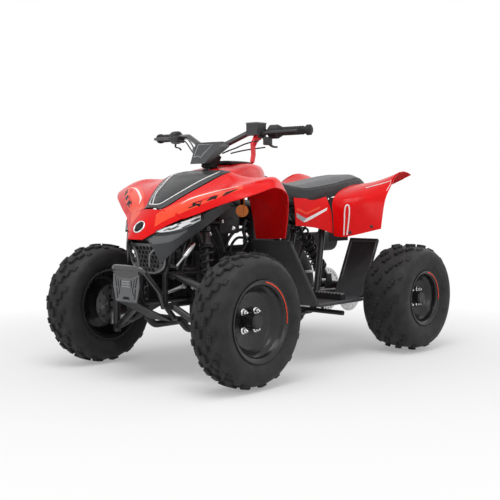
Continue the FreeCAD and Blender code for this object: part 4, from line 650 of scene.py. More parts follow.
def make_camera():
    data = bpy.data.cameras.new("camera")
    data.sensor_width = SENSOR
    data.lens = FOCAL_PX * SENSOR / IMAGE
    data.clip_end = 60
    obj = bpy.data.objects.new("camera", data)
    bpy.context.scene.collection.objects.link(obj)
    obj.location = CAMERA_AT
    obj.rotation_mode = "QUATERNION"
    obj.rotation_quaternion = (CAMERA_AIM - CAMERA_AT).to_track_quat("-Z", "Y")
    bpy.context.scene.camera = obj
    bpy.context.view_layer.update()
    return obj


camera = make_camera()
camera_turn = camera.rotation_quaternion.to_matrix()


def ray_of(u, v):
    """The direction in which the photograph's pixel looks."""
    middle = IMAGE / 2
    return (camera_turn @ Vector(((u - middle) / FOCAL_PX, (middle - v) / FOCAL_PX,
                                  -1.0))).normalized()


def surface_of(*names):
    verts = []
    faces = []
    for name in names:
        mesh = nodes[name].data
        offset = len(verts)
        verts += [v.co.copy() for v in mesh.vertices]
        faces += [[index + offset for index in p.vertices] for p in mesh.polygons]
    return BVHTree.FromPolygons(verts, faces)


FILM_CELL = 0.09


def film(name, tree, upper, lower, look, body, lift=0.5, steps=6, rows=3, both=True,
         slot="red"):
    """A thin film between two lines of pixels, laid on the surface that they see."""
    top = smooth_line([(u, v) for u, v in upper], steps)
    low = smooth_line([(u, v) for u, v in lower], steps)
    verts = []
    known = []
    for a, b in zip(top, low):
        for row in range(rows + 1):
            u, v = a.lerp(b, row / rows)
            hit, normal, _, _ = tree.ray_cast(CAMERA_AT, ray_of(u, v))
            known.append(hit is not None)
            if hit is None:
                verts.append(CAMERA_AT)
                continue
            if normal.dot(ray_of(u, v)) > 0:
                normal = -normal
            verts.append(hit + normal * lift * MM)
    faces = []
    for step in range(len(top) - 1):
        for row in range(rows):
            here = step * (rows + 1) + row
            there = here + rows + 1
            corners = (here, there, there + 1, here + 1)
            if not all(known[corner] for corner in corners):
                continue
            if max((verts[a] - verts[b]).length for a in corners for b in corners) < FILM_CELL:
                faces.append(corners)
    used = sorted({corner for corners in faces for corner in corners})
    order = {corner: number for number, corner in enumerate(used)}
    verts = [verts[corner] for corner in used]
    faces = [tuple(order[corner] for corner in corners) for corners in faces]
    if not faces:
        print("film missed its surface:", name)
        return
    part = (verts, faces)
    if both:
        part = merged([part, flipped(part)])
    piece(name, part[0], part[1], look, body)


def ribbon(name, tree, points, width, look, body="chassis"):
    """A film of even width in millimetres along a line of pixels, pointed at both ends."""
    hits = []
    for u, v in smooth_line(points, 6):
        hit, normal, _, _ = tree.ray_cast(CAMERA_AT, ray_of(u, v))
        if hit is not None:
            hits.append((hit, -normal if normal.dot(ray_of(u, v)) > 0 else normal))
    verts = []
    for number, (hit, normal) in enumerate(hits):
        ahead = hits[min(number + 1, len(hits) - 1)][0] - hits[max(number - 1, 0)][0]
        side = normal.cross(ahead).normalized()
        share = number / (len(hits) - 1)
        half = width / 2 * MM * min(1, 5 * share, 5 * (1 - share)) + 0.2 * MM
        for sign in (1, 0, -1):
            near, face = tree.find_nearest(hit + side * half * sign)[:2]
            face = -face if face.dot(normal) < 0 else face
            verts.append(near + face * 0.9 * MM)
    faces = []
    for number in range(len(hits) - 1):
        a = number * 3
        faces += [(a, a + 1, a + 4, a + 3), (a + 1, a + 2, a + 5, a + 4)]
    verts, faces = merged([(verts, faces), flipped((verts, faces))])
    piece(name, verts, faces, look, body)


# Films on the body panels, drawn on the near side and mirrored


hood_skin = surface_of("hood_panel")
red_skin = surface_of("front_fenders", "nose_cowl")
rear_skin = surface_of("rear_fenders", "side_covers")
lamp_skin = surface_of("headlights")
pod_skin = surface_of("pod")
fascia_skin = surface_of("fascias")
strap_skin = surface_of("side_reflectors")
footwell_skin = surface_of("footwells")


def line_film(name, tree, points, width, look, body="chassis", lift=0.7, steps=6, both=True,
              slot=None):
    """A narrow film of even width along a line of pixels."""
    path = smooth_line(points, steps) if steps > 1 else [Vector(p) for p in points]
    upper = []
    lower = []
    for number, here in enumerate(path):
        before = path[max(number - 1, 0)]
        after = path[min(number + 1, len(path) - 1)]
        way = (after - before).normalized()
        across = Vector((-way.y, way.x)) * width / 2
        upper.append(here + across)
        lower.append(here - across)
    film(name, tree, upper, lower, look, body, lift, 1, 1, both, slot)


# Lines of pixels on the photograph, and films as their upper and lower lines
HOOD_LEFT = [(152.6, 204.4), (155.9, 193.9), (163.1, 184.7), (171.2, 176.3), (181, 170.2)]
HOOD_RIGHT = [(152.6, 204.4), (160, 203.8), (170.5, 197.8), (181.4, 191.4), (201.8, 180),
              (222.2, 170.6)]
HOOD_FIELD = ([(154, 202.6), (157.5, 194), (165, 185), (173, 177.5), (184, 171)],
              [(158.5, 202.6), (169, 197.2), (180, 191), (200, 180.2), (216, 172.8)])
FENDER_BAND = ([(156, 214.5), (166, 208.5), (181.4, 201.5), (198.8, 194.4), (230.4, 186.9),
                (243, 184.8)],
               [(154.5, 227), (167.1, 219.6), (187.6, 210.6), (206.9, 202.6), (227.3, 194.4),
                (243, 189.2)])
FENDER_CREST_HIGHLIGHT = [(180, 204.6), (189, 199.6), (198.8, 196.2), (214, 192), (230.4, 188.2),
                 (240, 186.4)]
FENDER_MARKS = (
    ([(188.1, 208.6), (193.2, 202.8), (202.3, 200.6)], [(190.6, 208), (196.6, 205.4), (199.6, 206.8)]),
    ([(206.4, 201), (211, 197), (218.2, 195)], [(208.6, 200.8), (213, 199.2), (216, 199)]),
    ([(222.2, 195.9), (226.3, 192.3), (239.1, 188.3)], [(223.4, 196.2), (229, 193.6), (235, 190.8)]))
CHEVRON_LEFT = ([(296.6, 212.6), (300, 215.2), (306.4, 218.4)],
                [(296.6, 217.2), (300, 219.8), (303.2, 222)])
CHEVRON_RIGHT = ([(306.4, 218.4), (318, 212.4), (329.3, 206.4)],
                 [(303.2, 222), (308.6, 220.6), (331.2, 207.8)])
COVER_EDGE_HIGHLIGHT = [(296.8, 209), (301.6, 211), (306.4, 213.6), (320, 207.4), (330, 203)]
FENDER_FOLD_HIGHLIGHT = [(343.9, 235.5), (344.4, 222), (345, 209), (346.6, 205), (349, 206.2), (349.4, 212),
               (348.6, 222), (347, 235)]
FENDER_WING_HIGHLIGHT = [(366, 188), (384, 183), (391.5, 180.4), (389.8, 185.4), (386.4, 191)]
FASCIA_PANEL = ([(146.5, 236.4), (165, 235.8), (179, 232.8), (187, 229)],
                [(148, 244.5), (160, 243.6), (173, 240.6), (187.6, 231)])
REFLECTOR_STRAP = ([(238, 196), (240.5, 196), (244.5, 196)], [(238, 205), (240.5, 205), (244.5, 205)])
WING_LINING = ([(391.4, 181.4), (395, 175), (399, 172.6), (403, 171), (408, 171.8), (412, 174)],
               [(392, 185), (395, 184), (399, 182.6), (403, 180.8), (408, 178.2), (412, 176)])
LAMP_REFLECTION_EDGES = ([(156.6, 231.4), (166, 227.4), (176, 222.4), (188, 217.4), (201, 212.6)],
              [(160, 232.4), (170, 231.3), (180, 228.9), (190, 225.6), (200.4, 220.4)])
LAMP_SHADOWS = (
    ([(168, 229.6), (173, 227.6), (178, 225.4)], [(169, 230.2), (174, 229), (179.6, 226)]),
    ([(181, 228), (186, 225.4), (191, 223.6)], [(182, 228.4), (187, 226.6), (192, 224.2)]),
    ([(176, 225), (182, 221.8), (187, 219.8)], [(178, 224.8), (183, 222.8), (187.6, 220.6)]),
    ([(190, 221.6), (195, 219), (199.6, 217.6)], [(191, 222.6), (196, 220.8), (200, 218.8)]),
    ([(163, 230.6), (166, 229.2), (170, 227.6)], [(163.6, 231), (167, 230), (170.4, 228.2)]))
POD_LINE = [(193.8, 157.4), (198.2, 156), (200.6, 158), (203, 154.6), (212.6, 144.4),
            (198.5, 144.9), (193.8, 157.4)]
BADGE_AT = (139.2, 227)
RIM_LINE = ((341.2, 281), (344.6, 268), (349, 251), (352, 241), (358, 241), (367, 241.2),
            (376, 241.6), (374.4, 250), (372, 258))
FENDER_BOLTS = ((349.9, 232.4), (371.4, 226.6))
# Widths of the lines, and how the short strokes on the hood lean and grow, in pixels
PINSTRIPE_AND_HIGHLIGHT_WIDTH = 0.8
EDGE_HIGHLIGHT_WIDTH = 1.8
FOLD_HIGHLIGHT_WIDTH = 1.2
HAIR_WIDTH = 0.6
CREST_HIGHLIGHT_WIDTH_MM = 8
TOOTH_START = Vector((1.2, 0.8))
TOOTH_SIDE = Vector((0.9, 0.2))
TOOTH_LEAN, TOOTH_LEAN_STEP = 1.0, 0.06
TOOTH_LONG, TOOTH_LONG_STEP = 5.2, 0.1

line_film("hood_pinstripe_low", hood_skin, HOOD_RIGHT, PINSTRIPE_AND_HIGHLIGHT_WIDTH, white_film)
# The white line along the hood's far edge is a painted highlight, drawn on that side only
line_film("hood_far_edge_painted_highlight", hood_skin, HOOD_LEFT, PINSTRIPE_AND_HIGHLIGHT_WIDTH, white_film, both=False)
film("hood_field", hood_skin, *HOOD_FIELD, field_film, "chassis", 0.4, 5, 6, False, "black")
# Short black strokes inside the hood's far edge: painted shade in the vent grooves
for number, start in enumerate(smooth_line(HOOD_LEFT[1:], 5)[:-1]):
    base = start + TOOTH_START
    tip = base + Vector((TOOTH_LEAN + number * TOOTH_LEAN_STEP,
                         TOOTH_LONG - number * TOOTH_LONG_STEP))
    film(f"hood_groove_shade_{number}", hood_skin, [base, tip], [base + TOOTH_SIDE, tip], black_film,
         "chassis", 0.8, 1, 1, False, "black")
film("fender_band", red_skin, *FENDER_BAND, orange_red, "chassis", 0.5, 6, 4)
# A white line along the front fender's crest: a painted highlight
ribbon("fender_crest_painted_highlight", red_skin, FENDER_CREST_HIGHLIGHT, CREST_HIGHLIGHT_WIDTH_MM, white_film)
for number, edges in enumerate(FENDER_MARKS):
    film(f"fender_mark_{number + 1}", red_skin, *edges, black_film, "chassis", 0.9, 1, 2)
film("cover_chevron_left", rear_skin, *CHEVRON_LEFT, grey_film, "chassis", 0.7, 3, 2)
film("cover_chevron_right", rear_skin, *CHEVRON_RIGHT, white_film, "chassis", 0.7, 4, 2)
# A lighter red line along the side cover's upper edge: a painted highlight
line_film("cover_edge_painted_highlight", rear_skin, COVER_EDGE_HIGHLIGHT, EDGE_HIGHLIGHT_WIDTH, orange_red, steps=1)
# A white loop along the rear fender's fold: a painted highlight
line_film("fender_fold_painted_highlight", rear_skin, FENDER_FOLD_HIGHLIGHT, FOLD_HIGHLIGHT_WIDTH, white_film, steps=5)
# A thin white line along the rear fender's wing: a painted highlight
line_film("fender_wing_painted_highlight", rear_skin, FENDER_WING_HIGHLIGHT, HAIR_WIDTH, white_film, steps=1)
film("fascia_panel", fascia_skin, *FASCIA_PANEL, satin_grey, "chassis", 0.5, 5, 4, True, "dark")
film("reflector_strap", strap_skin, *REFLECTOR_STRAP, black_film, "chassis", 0.6, 3, 8, True,
     "amber")
film("wing_lining", rear_skin, *WING_LINING, lining_red, "chassis", 1.2, 4, 12)

# Headlight: a near-white film as a painted reflection, with painted shadows laid on it as dark films
film("lamp_painted_reflection_film", lamp_skin, *LAMP_REFLECTION_EDGES, lamp_painted_reflection, "chassis", 0.7, 8, 16, True, "lamp")
for number, edges in enumerate(LAMP_SHADOWS):
    film(f"lamp_shadow_{number}", lamp_skin, *edges, lamp_dark, "chassis", 1.2, 3, 1, True, "lamp")

# Pod: an inset line on its face
line_film("pod_line", pod_skin, POD_LINE, HAIR_WIDTH, grey_film, "steering", steps=1, both=False)


# Badge: a blank disc in a bright ring on the nose


# Closed profiles as (radius, height) in millimetres
BADGE_RING = ((26, -6), (26, 2), (24.6, 3.4), (22.6, 3.4), (21.4, 2), (21.4, -6))
BADGE_FACE = ((21.3, -6), (21.3, 1.4), (16, 2.4), (8, 3.1), (0.4, 3.3), (0.4, -6))
LEVER_KNOB = ((0.4, -4), (3, -3.4), (4.2, 0), (3, 3.4), (0.4, 4))


def seat_on(tree, u, v):
    hit, normal, _, _ = tree.ray_cast(CAMERA_AT, ray_of(u, v))
    if hit is not None and normal.dot(ray_of(u, v)) > 0:
        normal = -normal
    return hit, normal


def turned_ring(profile, steps=48):
    profile = [(r * MM, h * MM) for r, h in profile]
    verts = []
    faces = []
    for step in range(steps):
        angle = 2 * math.pi * step / steps
        verts += [(r * math.cos(angle), r * math.sin(angle), h) for r, h in profile]
    count = len(profile)
    for step in range(steps):
        here = step * count
        there = (step + 1) % steps * count
        for number in range(count):
            after = (number + 1) % count
            faces.append((here + number, there + number, there + after, here + after))
    return verts, faces


badge_hit, badge_normal = seat_on(red_skin, *BADGE_AT)
badge_at = Vector((badge_hit.x, 0, badge_hit.z))
badge_way = Vector((badge_normal.x, 0, badge_normal.z)).normalized()
badge_turn = aim(badge_at, badge_at + badge_way)
put("badge_ring", [turned_to(turned_ring(BADGE_RING), badge_turn)], bright_steel, "chassis")
put("badge_face", [turned_to(turned_ring(BADGE_FACE), badge_turn)], black_film, "chassis")


# Grille: a dark shroud behind the mesh, its frame and the two bent ribs


GRILLE_LEAN = math.radians(11.4)
GRILLE_FOOT_X, GRILLE_FOOT_Z = 0.617, 0.386
# Outline as (height along the grille, half width)
SHROUD = [(0.0, 0.034), (0.03, 0.084), (0.112, 0.095), (0.15, 0.075)]
SHROUD_BACK = 0.014
SHROUD_THICK = Vector((0.003, 0, 0))
RIB_LINE = [(0.637, 0.092, 0.497), (0.644, 0.064, 0.481), (0.651, 0.04, 0.463),
            (0.652, 0.032, 0.442), (0.648, 0.028, 0.41)]
# The frame stands this far behind zero, so in front of the mesh
FRAME_BACK = -0.004
FRAME_LINE = [(0.002, 0.03), (0.03, 0.083), (0.112, 0.095)]
FRAME_FOOT = [(0.002, -0.03), (0.002, 0.03)]
RIB_RADIUS = 3.6 * MM


def on_grille(s, y, back=0.0):
    return Vector((GRILLE_FOOT_X + s * math.sin(GRILLE_LEAN) - back * math.cos(GRILLE_LEAN), y,
                   GRILLE_FOOT_Z + s * math.cos(GRILLE_LEAN) + back * math.sin(GRILLE_LEAN)))


front = [on_grille(s, y, SHROUD_BACK) for s, y in SHROUD]
front += [Vector((v.x, -v.y, v.z)) for v in front[::-1]]
put("grille_shroud", [prism(front, [v - SHROUD_THICK for v in front])], black_plastic, "chassis",
    False)
rim_line = smooth_line([on_grille(s, y, FRAME_BACK) for s, y in FRAME_LINE], 5)
near = merged([tube_mesh(smooth_line(RIB_LINE, 5), RIB_RADIUS), tube_mesh(rim_line, RIB_RADIUS)])
foot = tube_mesh([on_grille(s, y, FRAME_BACK) for s, y in FRAME_FOOT], RIB_RADIUS)
put("grille_ribs", [near, flipped(near), foot], rib_grey, "chassis")


# Bumper plate: a raised field with bars, and slots drawn as thin black slabs that are painted shade


PLATE_FACE = 0.7345
FIELD_HEIGHT = 0.0013
SLOT_HEIGHT = 0.0004
BAR_HEIGHT = 0.0016
# Outlines as (y, z)
PLATE_FIELD = [(-0.069, 0.39), (-0.03, 0.375), (0.03, 0.375), (0.069, 0.39), (0.071, 0.345),
               (0.056, 0.291), (-0.056, 0.291), (-0.071, 0.345)]
SIDE_SLOTS = [[(0.057, 0.379), (0.062, 0.381), (0.053, 0.343), (0.048, 0.343)],
              [(0.043, 0.373), (0.047, 0.375), (0.041, 0.34), (0.037, 0.34)],
              [(0.048, 0.338), (0.053, 0.338), (0.049, 0.3), (0.044, 0.3)],
              [(0.027, 0.368), (0.031, 0.368), (0.031, 0.343), (0.027, 0.343)],
              [(0.031, 0.341), (0.035, 0.34), (0.042, 0.314), (0.038, 0.312)]]
MIDDLE_SLOT = [(-0.02, 0.298), (0.02, 0.298), (0.013, 0.308), (-0.013, 0.308)]
BAR_HALF, BAR_WIDE = 0.022, 0.004
BAR_FEET = (0.342, 0.351, 0.36)


def slab(points, height, base=0.0):
    """A flat raised piece on the plate's front, from its outline in (y, z)."""
    return prism([(PLATE_FACE + base, y, z) for y, z in points],
                 [(PLATE_FACE + base + height, y, z) for y, z in points])


put("plate_field", [slab(PLATE_FIELD, FIELD_HEIGHT)], satin_grey, "chassis", False)
# Slots as black slabs on the field: painted shade in the openings
slots = [slab(outline, SLOT_HEIGHT, FIELD_HEIGHT) for outline in SIDE_SLOTS]
slots += [flipped(part) for part in slots]
slots.append(slab(MIDDLE_SLOT, SLOT_HEIGHT, FIELD_HEIGHT))
put("plate_slots_painted_shade", slots, black_film, "chassis", False)
bars = [slab([(-BAR_HALF, z), (BAR_HALF, z), (BAR_HALF, z + BAR_WIDE), (-BAR_HALF, z + BAR_WIDE)],
             BAR_HEIGHT, FIELD_HEIGHT) for z in BAR_FEET]
put("plate_bars", bars, rib_grey, "chassis", False)


# Cables and levers on the handlebar


# Pixels of the photograph, each with its side distance in metres
CABLES = ([(222.6, 153.4, 0.06), (229, 150.6, 0.1), (236, 148, 0.15), (244, 144.4, 0.19),
           (252, 142, 0.22), (258.5, 141, 0.245)],
          [(231, 153.4, 0.08), (240, 151.2, 0.13), (250, 149.4, 0.18), (258, 148.3, 0.22),
           (265, 147.4, 0.255)],
          [(183.6, 137.2, -0.27), (188, 139.6, -0.24), (191.6, 144.2, -0.18), (194.6, 150, -0.1)],
          [(181.8, 139.6, -0.27), (186, 142.4, -0.24), (189.6, 147.6, -0.18), (192.8, 152.4, -0.1)])
NEAR_LEVER = [(264, 137.5, 0.262), (268, 142.5, 0.272), (272.5, 146.4, 0.285), (276.6, 147, 0.3)]
FAR_LEVER = [(176, 142, -0.3), (175.6, 147, -0.3), (179, 148, -0.3), (181, 150, -0.3)]
PERCH_AT = (267.5, 137, 0.268)
# Hoses and their fittings, with the radius in millimetres
HOSES = (([(224, 250, 0.07), (228.6, 239, 0.07), (235, 231.6, 0.06), (246, 228.6, 0.05)], 6.5),
         ([(229, 252, 0.06), (232.6, 243, 0.06), (238.4, 237.6, 0.05), (248, 238.6, 0.03)], 5.5),
         ([(214, 226, 0.1), (219, 236, 0.1), (222.6, 248, 0.09), (224, 260, 0.08)], 7.5),
         ([(204, 218, 0.11), (212, 222, 0.11), (222, 222, 0.1), (232, 218, 0.09)], 4.5),
         ([(246, 220, 0.08), (243, 230, 0.08), (246, 242, 0.07), (240, 254, 0.06)], 6.0),
         ([(206, 224, 0.03), (209, 236, 0.03), (216, 246, 0.02), (218, 258, 0.02)], 6.0))
FITTINGS = (((244.6, 233.6, 0.07), (247.6, 236.6, 0.07), 8.5),
            ((231, 227.6, 0.07), (234.4, 228.8, 0.07), 9),
            ((221.6, 219.8, 0.11), (223, 222.6, 0.11), 6),
            ((209.6, 231.8, 0.08), (210.8, 235.6, 0.08), 5),
            ((243.6, 241, 0.06), (247.6, 241.8, 0.06), 7))
STRUT = [(193.8, 243.4, 0.135), (184, 257.4, 0.135), (176.8, 266, 0.135)]
STRUT_RADII_MM = (7.5, 9.5, 9.5, 8, 4.2, 4.2)
BRAKE_LEVER = [(0.272, 0.215, 0.9), (0.278, 0.25, 0.902), (0.262, 0.31, 0.904),
               (0.242, 0.385, 0.906)]
CABLE_RADIUS = 2.7 * MM
LEVER_ROOT, LEVER_TAPER, LEVER_THICK = 0.015, 0.009, 0.006
FAR_LEVER_WIDE = 0.01
BRAKE_WIDE, BRAKE_THICK = 0.012, 0.007
# Boxes with rounded edges: low corner, high corner and edge
PERCH_BOX = ((-0.014, -0.012, -0.03), (0.014, 0.014, 0.0), 0.004)
CLAMP_BOX = ((0.236, 0.208, 0.884), (0.282, 0.232, 0.912), 0.004)
LID_BOX = ((0.246, 0.186, 0.936), (0.304, 0.242, 0.9415), 0.002)
SCREW_X, SCREW_Y, SCREW_Z = (0.253, 0.297), (0.193, 0.235), 0.9395
SCREW_RADIUS, SCREW_HEIGHT = 2.6 * MM, 2.2 * MM


def spot(u, v, y):
    """The point that the photograph's pixel sees at that side distance."""
    way = ray_of(u, v)
    return CAMERA_AT + way * ((y - CAMERA_AT.y) / way.y)


def spots(points):
    return [spot(*point) for point in points]


put("bar_cables", [tube_mesh(smooth_line(spots(line), 6), CABLE_RADIUS, 10) for line in CABLES],
    grip_rubber, "steering")


def blade(points, widths, thickness, across):
    """A flat lever along a line of points, with rounded edges."""
    across = Vector(across).normalized()
    verts = []
    line = [Vector(p) for p in points]
    sides = 10
    for number, here in enumerate(line):
        way = (line[min(number + 1, len(line) - 1)] - line[max(number - 1, 0)]).normalized()
        flat = (across - way * across.dot(way)).normalized()
        thin = way.cross(flat)
        for side in range(sides):
            angle = 2 * math.pi * side / sides
            verts.append(here + flat * math.cos(angle) * widths[number] / 2
                         + thin * math.sin(angle) * thickness / 2)
    faces = ring_faces(len(line), sides)
    faces.append(tuple(range(sides)))
    last = (len(line) - 1) * sides
    faces.append(tuple(range(last, last + sides)))
    return verts, faces


near_lever = smooth_line(spots(NEAR_LEVER), 4)
widths = [LEVER_ROOT - LEVER_TAPER * n / (len(near_lever) - 1) for n in range(len(near_lever))]
knob = near_lever[-1]
far_lever = smooth_line(spots(FAR_LEVER), 4)
brake_lever = smooth_line(BRAKE_LEVER, 5)
lever_blade = blade(brake_lever, [BRAKE_WIDE] * len(brake_lever), BRAKE_THICK, (0, 0, 1))
clamp = round_box(*CLAMP_BOX)
put("hand_levers",
    [blade(near_lever, widths, LEVER_THICK, (0, 0, 1)),
     turned_to(turned_ring(LEVER_KNOB, 16), aim(knob, knob + Vector((0, 1, 0)))),
     turned_to(round_box(*PERCH_BOX), Matrix.Translation(spot(*PERCH_AT))),
     blade(far_lever, [FAR_LEVER_WIDE] * len(far_lever), LEVER_THICK, (0, 1, 0)),
     lever_blade, flipped(lever_blade), clamp, flipped(clamp)], frame_paint, "steering")

# Brake reservoir: its lid and four screws
put("reservoir_lid", [round_box(*LID_BOX)], satin_grey, "steering")
put("lid_screws", [bolt_head(Vector((x, y, SCREW_Z)), (0, 0, 1), SCREW_RADIUS, SCREW_HEIGHT)
                   for x in SCREW_X for y in SCREW_Y], steel, "steering", False)

# Steering boot: ribbed rubber round the column between the pod and the hood
STEM_LOW, STEM_HIGH = Vector((0.469, 0, 0.36)), Vector((0.288, 0, 0.838))
BOOT_RINGS = 13
BOOT_FROM, BOOT_SPAN = 0.87, 0.105
BOOT_CREST, BOOT_GROWTH, BOOT_VALLEY = 0.03, 0.008, 0.027
boot_line = []
boot_radii = []
for number in range(BOOT_RINGS * 2 + 1):
    share = number / (BOOT_RINGS * 2)
    boot_line.append(STEM_LOW.lerp(STEM_HIGH, BOOT_FROM + BOOT_SPAN * share))
    boot_radii.append(BOOT_CREST + BOOT_GROWTH * share if number % 2 == 0 else BOOT_VALLEY)
put("stem_boot", [tube_mesh(boot_line, boot_radii, 28)], grip_rubber, "steering")


# Under the front fender: the box, hoses and small fittings that fill the space


ELECTRICS = (((0.205, -0.07, 0.52), (0.322, 0.07, 0.635), 0.01),
             ((-0.01, -0.07, 0.545), (0.125, 0.07, 0.64), 0.012),
             ((-0.01, 0.0, 0.43), (0.12, 0.068, 0.56), 0.012),
             ((0.572, -0.03, 0.594), (0.602, 0.03, 0.614), 0.003),
             ((0.124, -0.05, 0.56), (0.13, 0.05, 0.566), 0.002),
             ((0.124, -0.05, 0.578), (0.13, 0.05, 0.584), 0.002),
             ((0.124, -0.05, 0.596), (0.13, 0.05, 0.602), 0.002),
             ((0.124, -0.05, 0.614), (0.13, 0.05, 0.62), 0.002))
put("electrics_box", [round_box(*box) for box in ELECTRICS], black_plastic, "chassis")

# Liner under the hood panel, seen only through the joint around it
LINER_FRONT, LINER_LONG, LINER_ROWS = 0.655, 0.32, 9
LINER_STEP, LINER_STEPS = 0.004, 60
LINER_FALL = 0.08
LINER_WIDER = 0.009
LINER_DROPS = (0.014, 0.016, 0.018)
DOWN = Vector((0, 0, -1))
verts = []
for number in range(LINER_ROWS):
    x = LINER_FRONT - LINER_LONG * number / (LINER_ROWS - 1)
    mid = hood_skin.ray_cast(Vector((x, LINER_STEP, 1)), DOWN)[0]
    if mid is None:
        continue
    rim = mid - Vector((0, LINER_STEP, LINER_DROPS[1]))
    for step in range(1, LINER_STEPS):
        edge = hood_skin.ray_cast(Vector((x, LINER_STEP * step, 1)), DOWN)[0]
        if edge is None or edge.z < mid.z - LINER_FALL:
            break
        rim = edge
    side, half = rim.y + LINER_WIDER, rim.y / 2
    low, middle = rim.z - LINER_DROPS[0], (mid.z + rim.z) / 2 - LINER_DROPS[1]
    verts += [(mid.x, -side, low), (mid.x, -half, middle), (mid.x, 0, mid.z - LINER_DROPS[2]),
              (mid.x, half, middle), (mid.x, side, low)]
faces = []
for row in range(len(verts) // 5 - 1):
    for n in range(4):
        a = row * 5 + n
        faces.append((a, a + 1, a + 6, a + 5))
piece("hood_liner", verts, faces, black_plastic, "chassis")

# Splash guard between the front frame rails, ribbed, behind the steering column
GUARD_SHEET = ((0.356, -0.168, 0.24), (0.36, 0.168, 0.455), 0.0015)
GUARD_RIB_X, GUARD_RIB_HALF, GUARD_RIB_Z = (0.358, 0.366), 0.004, (0.25, 0.445)
GUARD_RIB_Y = (-0.14, -0.105, -0.07, -0.035, 0, 0.035, 0.07, 0.105, 0.14)
GUARD_BAR_X, GUARD_BAR_HALF, GUARD_BAR_HIGH = (0.358, 0.364), 0.16, 0.007
GUARD_BAR_Z = (0.262, 0.34, 0.418)
GUARD_EDGE = 0.002
GUSSET = ((0.375, 0.133, 0.25), (0.51, 0.136, 0.385), 0.0012)
guard = [round_box(*GUARD_SHEET)]
guard += [round_box((GUARD_RIB_X[0], y - GUARD_RIB_HALF, GUARD_RIB_Z[0]),
                    (GUARD_RIB_X[1], y + GUARD_RIB_HALF, GUARD_RIB_Z[1]), GUARD_EDGE)
          for y in GUARD_RIB_Y]
guard += [round_box((GUARD_BAR_X[0], -GUARD_BAR_HALF, z),
                    (GUARD_BAR_X[1], GUARD_BAR_HALF, z + GUARD_BAR_HIGH), GUARD_EDGE)
          for z in GUARD_BAR_Z]
guard.append(both_sides(round_box(*GUSSET)))
put("splash_guard", guard, black_plastic, "chassis")

# Dark liner behind the joint between side cover and rear fender
COVER_LINER = ((-0.44, 0.128, 0.47), (-0.3, 0.132, 0.66), 0.0015)
put("cover_liner", [both_sides(round_box(*COVER_LINER))], black_plastic, "chassis")

# Sheets on the far side: outlines as (x, z), with their two side distances
SHIELD = [(0.13, 0.66), (0.40, 0.67), (0.41, 0.52), (0.33, 0.42), (0.16, 0.42)]
BATTERY = [(-0.03, 0.455), (0.07, 0.455), (0.07, 0.53), (0.19, 0.53), (0.19, 0.38), (-0.03, 0.38)]
for name, outline, inner, outer in (("splash_shield", SHIELD, 0.168, 0.171),
                                    ("battery_side", BATTERY, 0.12, 0.123)):
    sheet = prism([(x, -inner, z) for x, z in outline], [(x, -outer, z) for x, z in outline])
    put(name, [sheet], black_plastic, "chassis", False)

put("hoses", [tube_mesh(smooth_line(spots(line), 6), radius * MM, 12) for line, radius in HOSES],
    grip_rubber, "chassis")
clips = []
for start, end, radius in FITTINGS:
    a, b = spot(*start), spot(*end)
    clips.append(tube_mesh([a, a.lerp(b, 0.15), a.lerp(b, 0.85), b],
                           [radius * 0.8 * MM, radius * MM, radius * MM, radius * 0.8 * MM], 20))
put("hose_fittings", clips, bright_steel, "chassis")
top, mid, low = spots(STRUT)
strut = [top, top.lerp(mid, 0.06), top.lerp(mid, 0.94), mid, mid.lerp(low, 0.02), low]
put("strut_tube", [tube_mesh(strut, [radius * MM for radius in STRUT_RADII_MM], 24)], steel,
    "chassis")

# Rolled rim along the footwells' rear walls, coloured lighter grey than the footwell: a painted
# highlight on the rolled edge
RIM_RADIUS = 3.4 * MM
rim_hits = []
for u, v in RIM_LINE:
    hit, normal = seat_on(footwell_skin, u, v)
    if hit is not None:
        rim_hits.append(hit + normal * MM)
put("footwell_rims_painted_highlight", [both_sides(tube_mesh(rim_hits, RIM_RADIUS, 10))], satin_grey, "chassis")

# Bolts on the rear fenders
BOLT_RADIUS, BOLT_HEIGHT = 5.2 * MM, 5 * MM
bolts = []
for u, v in FENDER_BOLTS:
    hit, normal = seat_on(rear_skin, u, v)
    bolts.append(bolt_head(hit - normal * MM, normal, BOLT_RADIUS, BOLT_HEIGHT))
put("fender_bolts", [both_sides(merged(bolts))], frame_paint, "chassis", False)


# Seat: a padded cushion blown up inside its cover, a lighter top and a seam down each side


SEAT_STATIONS = [
    (0.028, (0.05, 0.706), (0.058, 0.735), (0.044, 0.751), 0.755),
    (-0.06, (0.092, 0.641), (0.1, 0.68), (0.088, 0.713), 0.721),
    (-0.16, (0.11, 0.601), (0.121, 0.655), (0.112, 0.699), 0.711),
    (-0.25, (0.116, 0.637), (0.129, 0.672), (0.12, 0.705), 0.719),
    (-0.37, (0.118, 0.663), (0.132, 0.69), (0.123, 0.721), 0.737),
    (-0.48, (0.116, 0.679), (0.129, 0.705), (0.12, 0.737), 0.753),
    (-0.57, (0.108, 0.691), (0.119, 0.714), (0.108, 0.743), 0.759),
    (-0.643, (0.08, 0.701), (0.089, 0.715), (0.08, 0.729), 0.741),
]
SEAT_DEPTH = 0.058
SEAT_BACK = -0.625
SEAM_FRONT, SEAM_LONG, SEAM_POINTS = 0.012, 0.637, 60
SEAM_RADIUS = 1.5 * MM
SEAT_VOXEL = 0.006
PUFF_MOST = 0.006
PUFF_FRAMES = 20


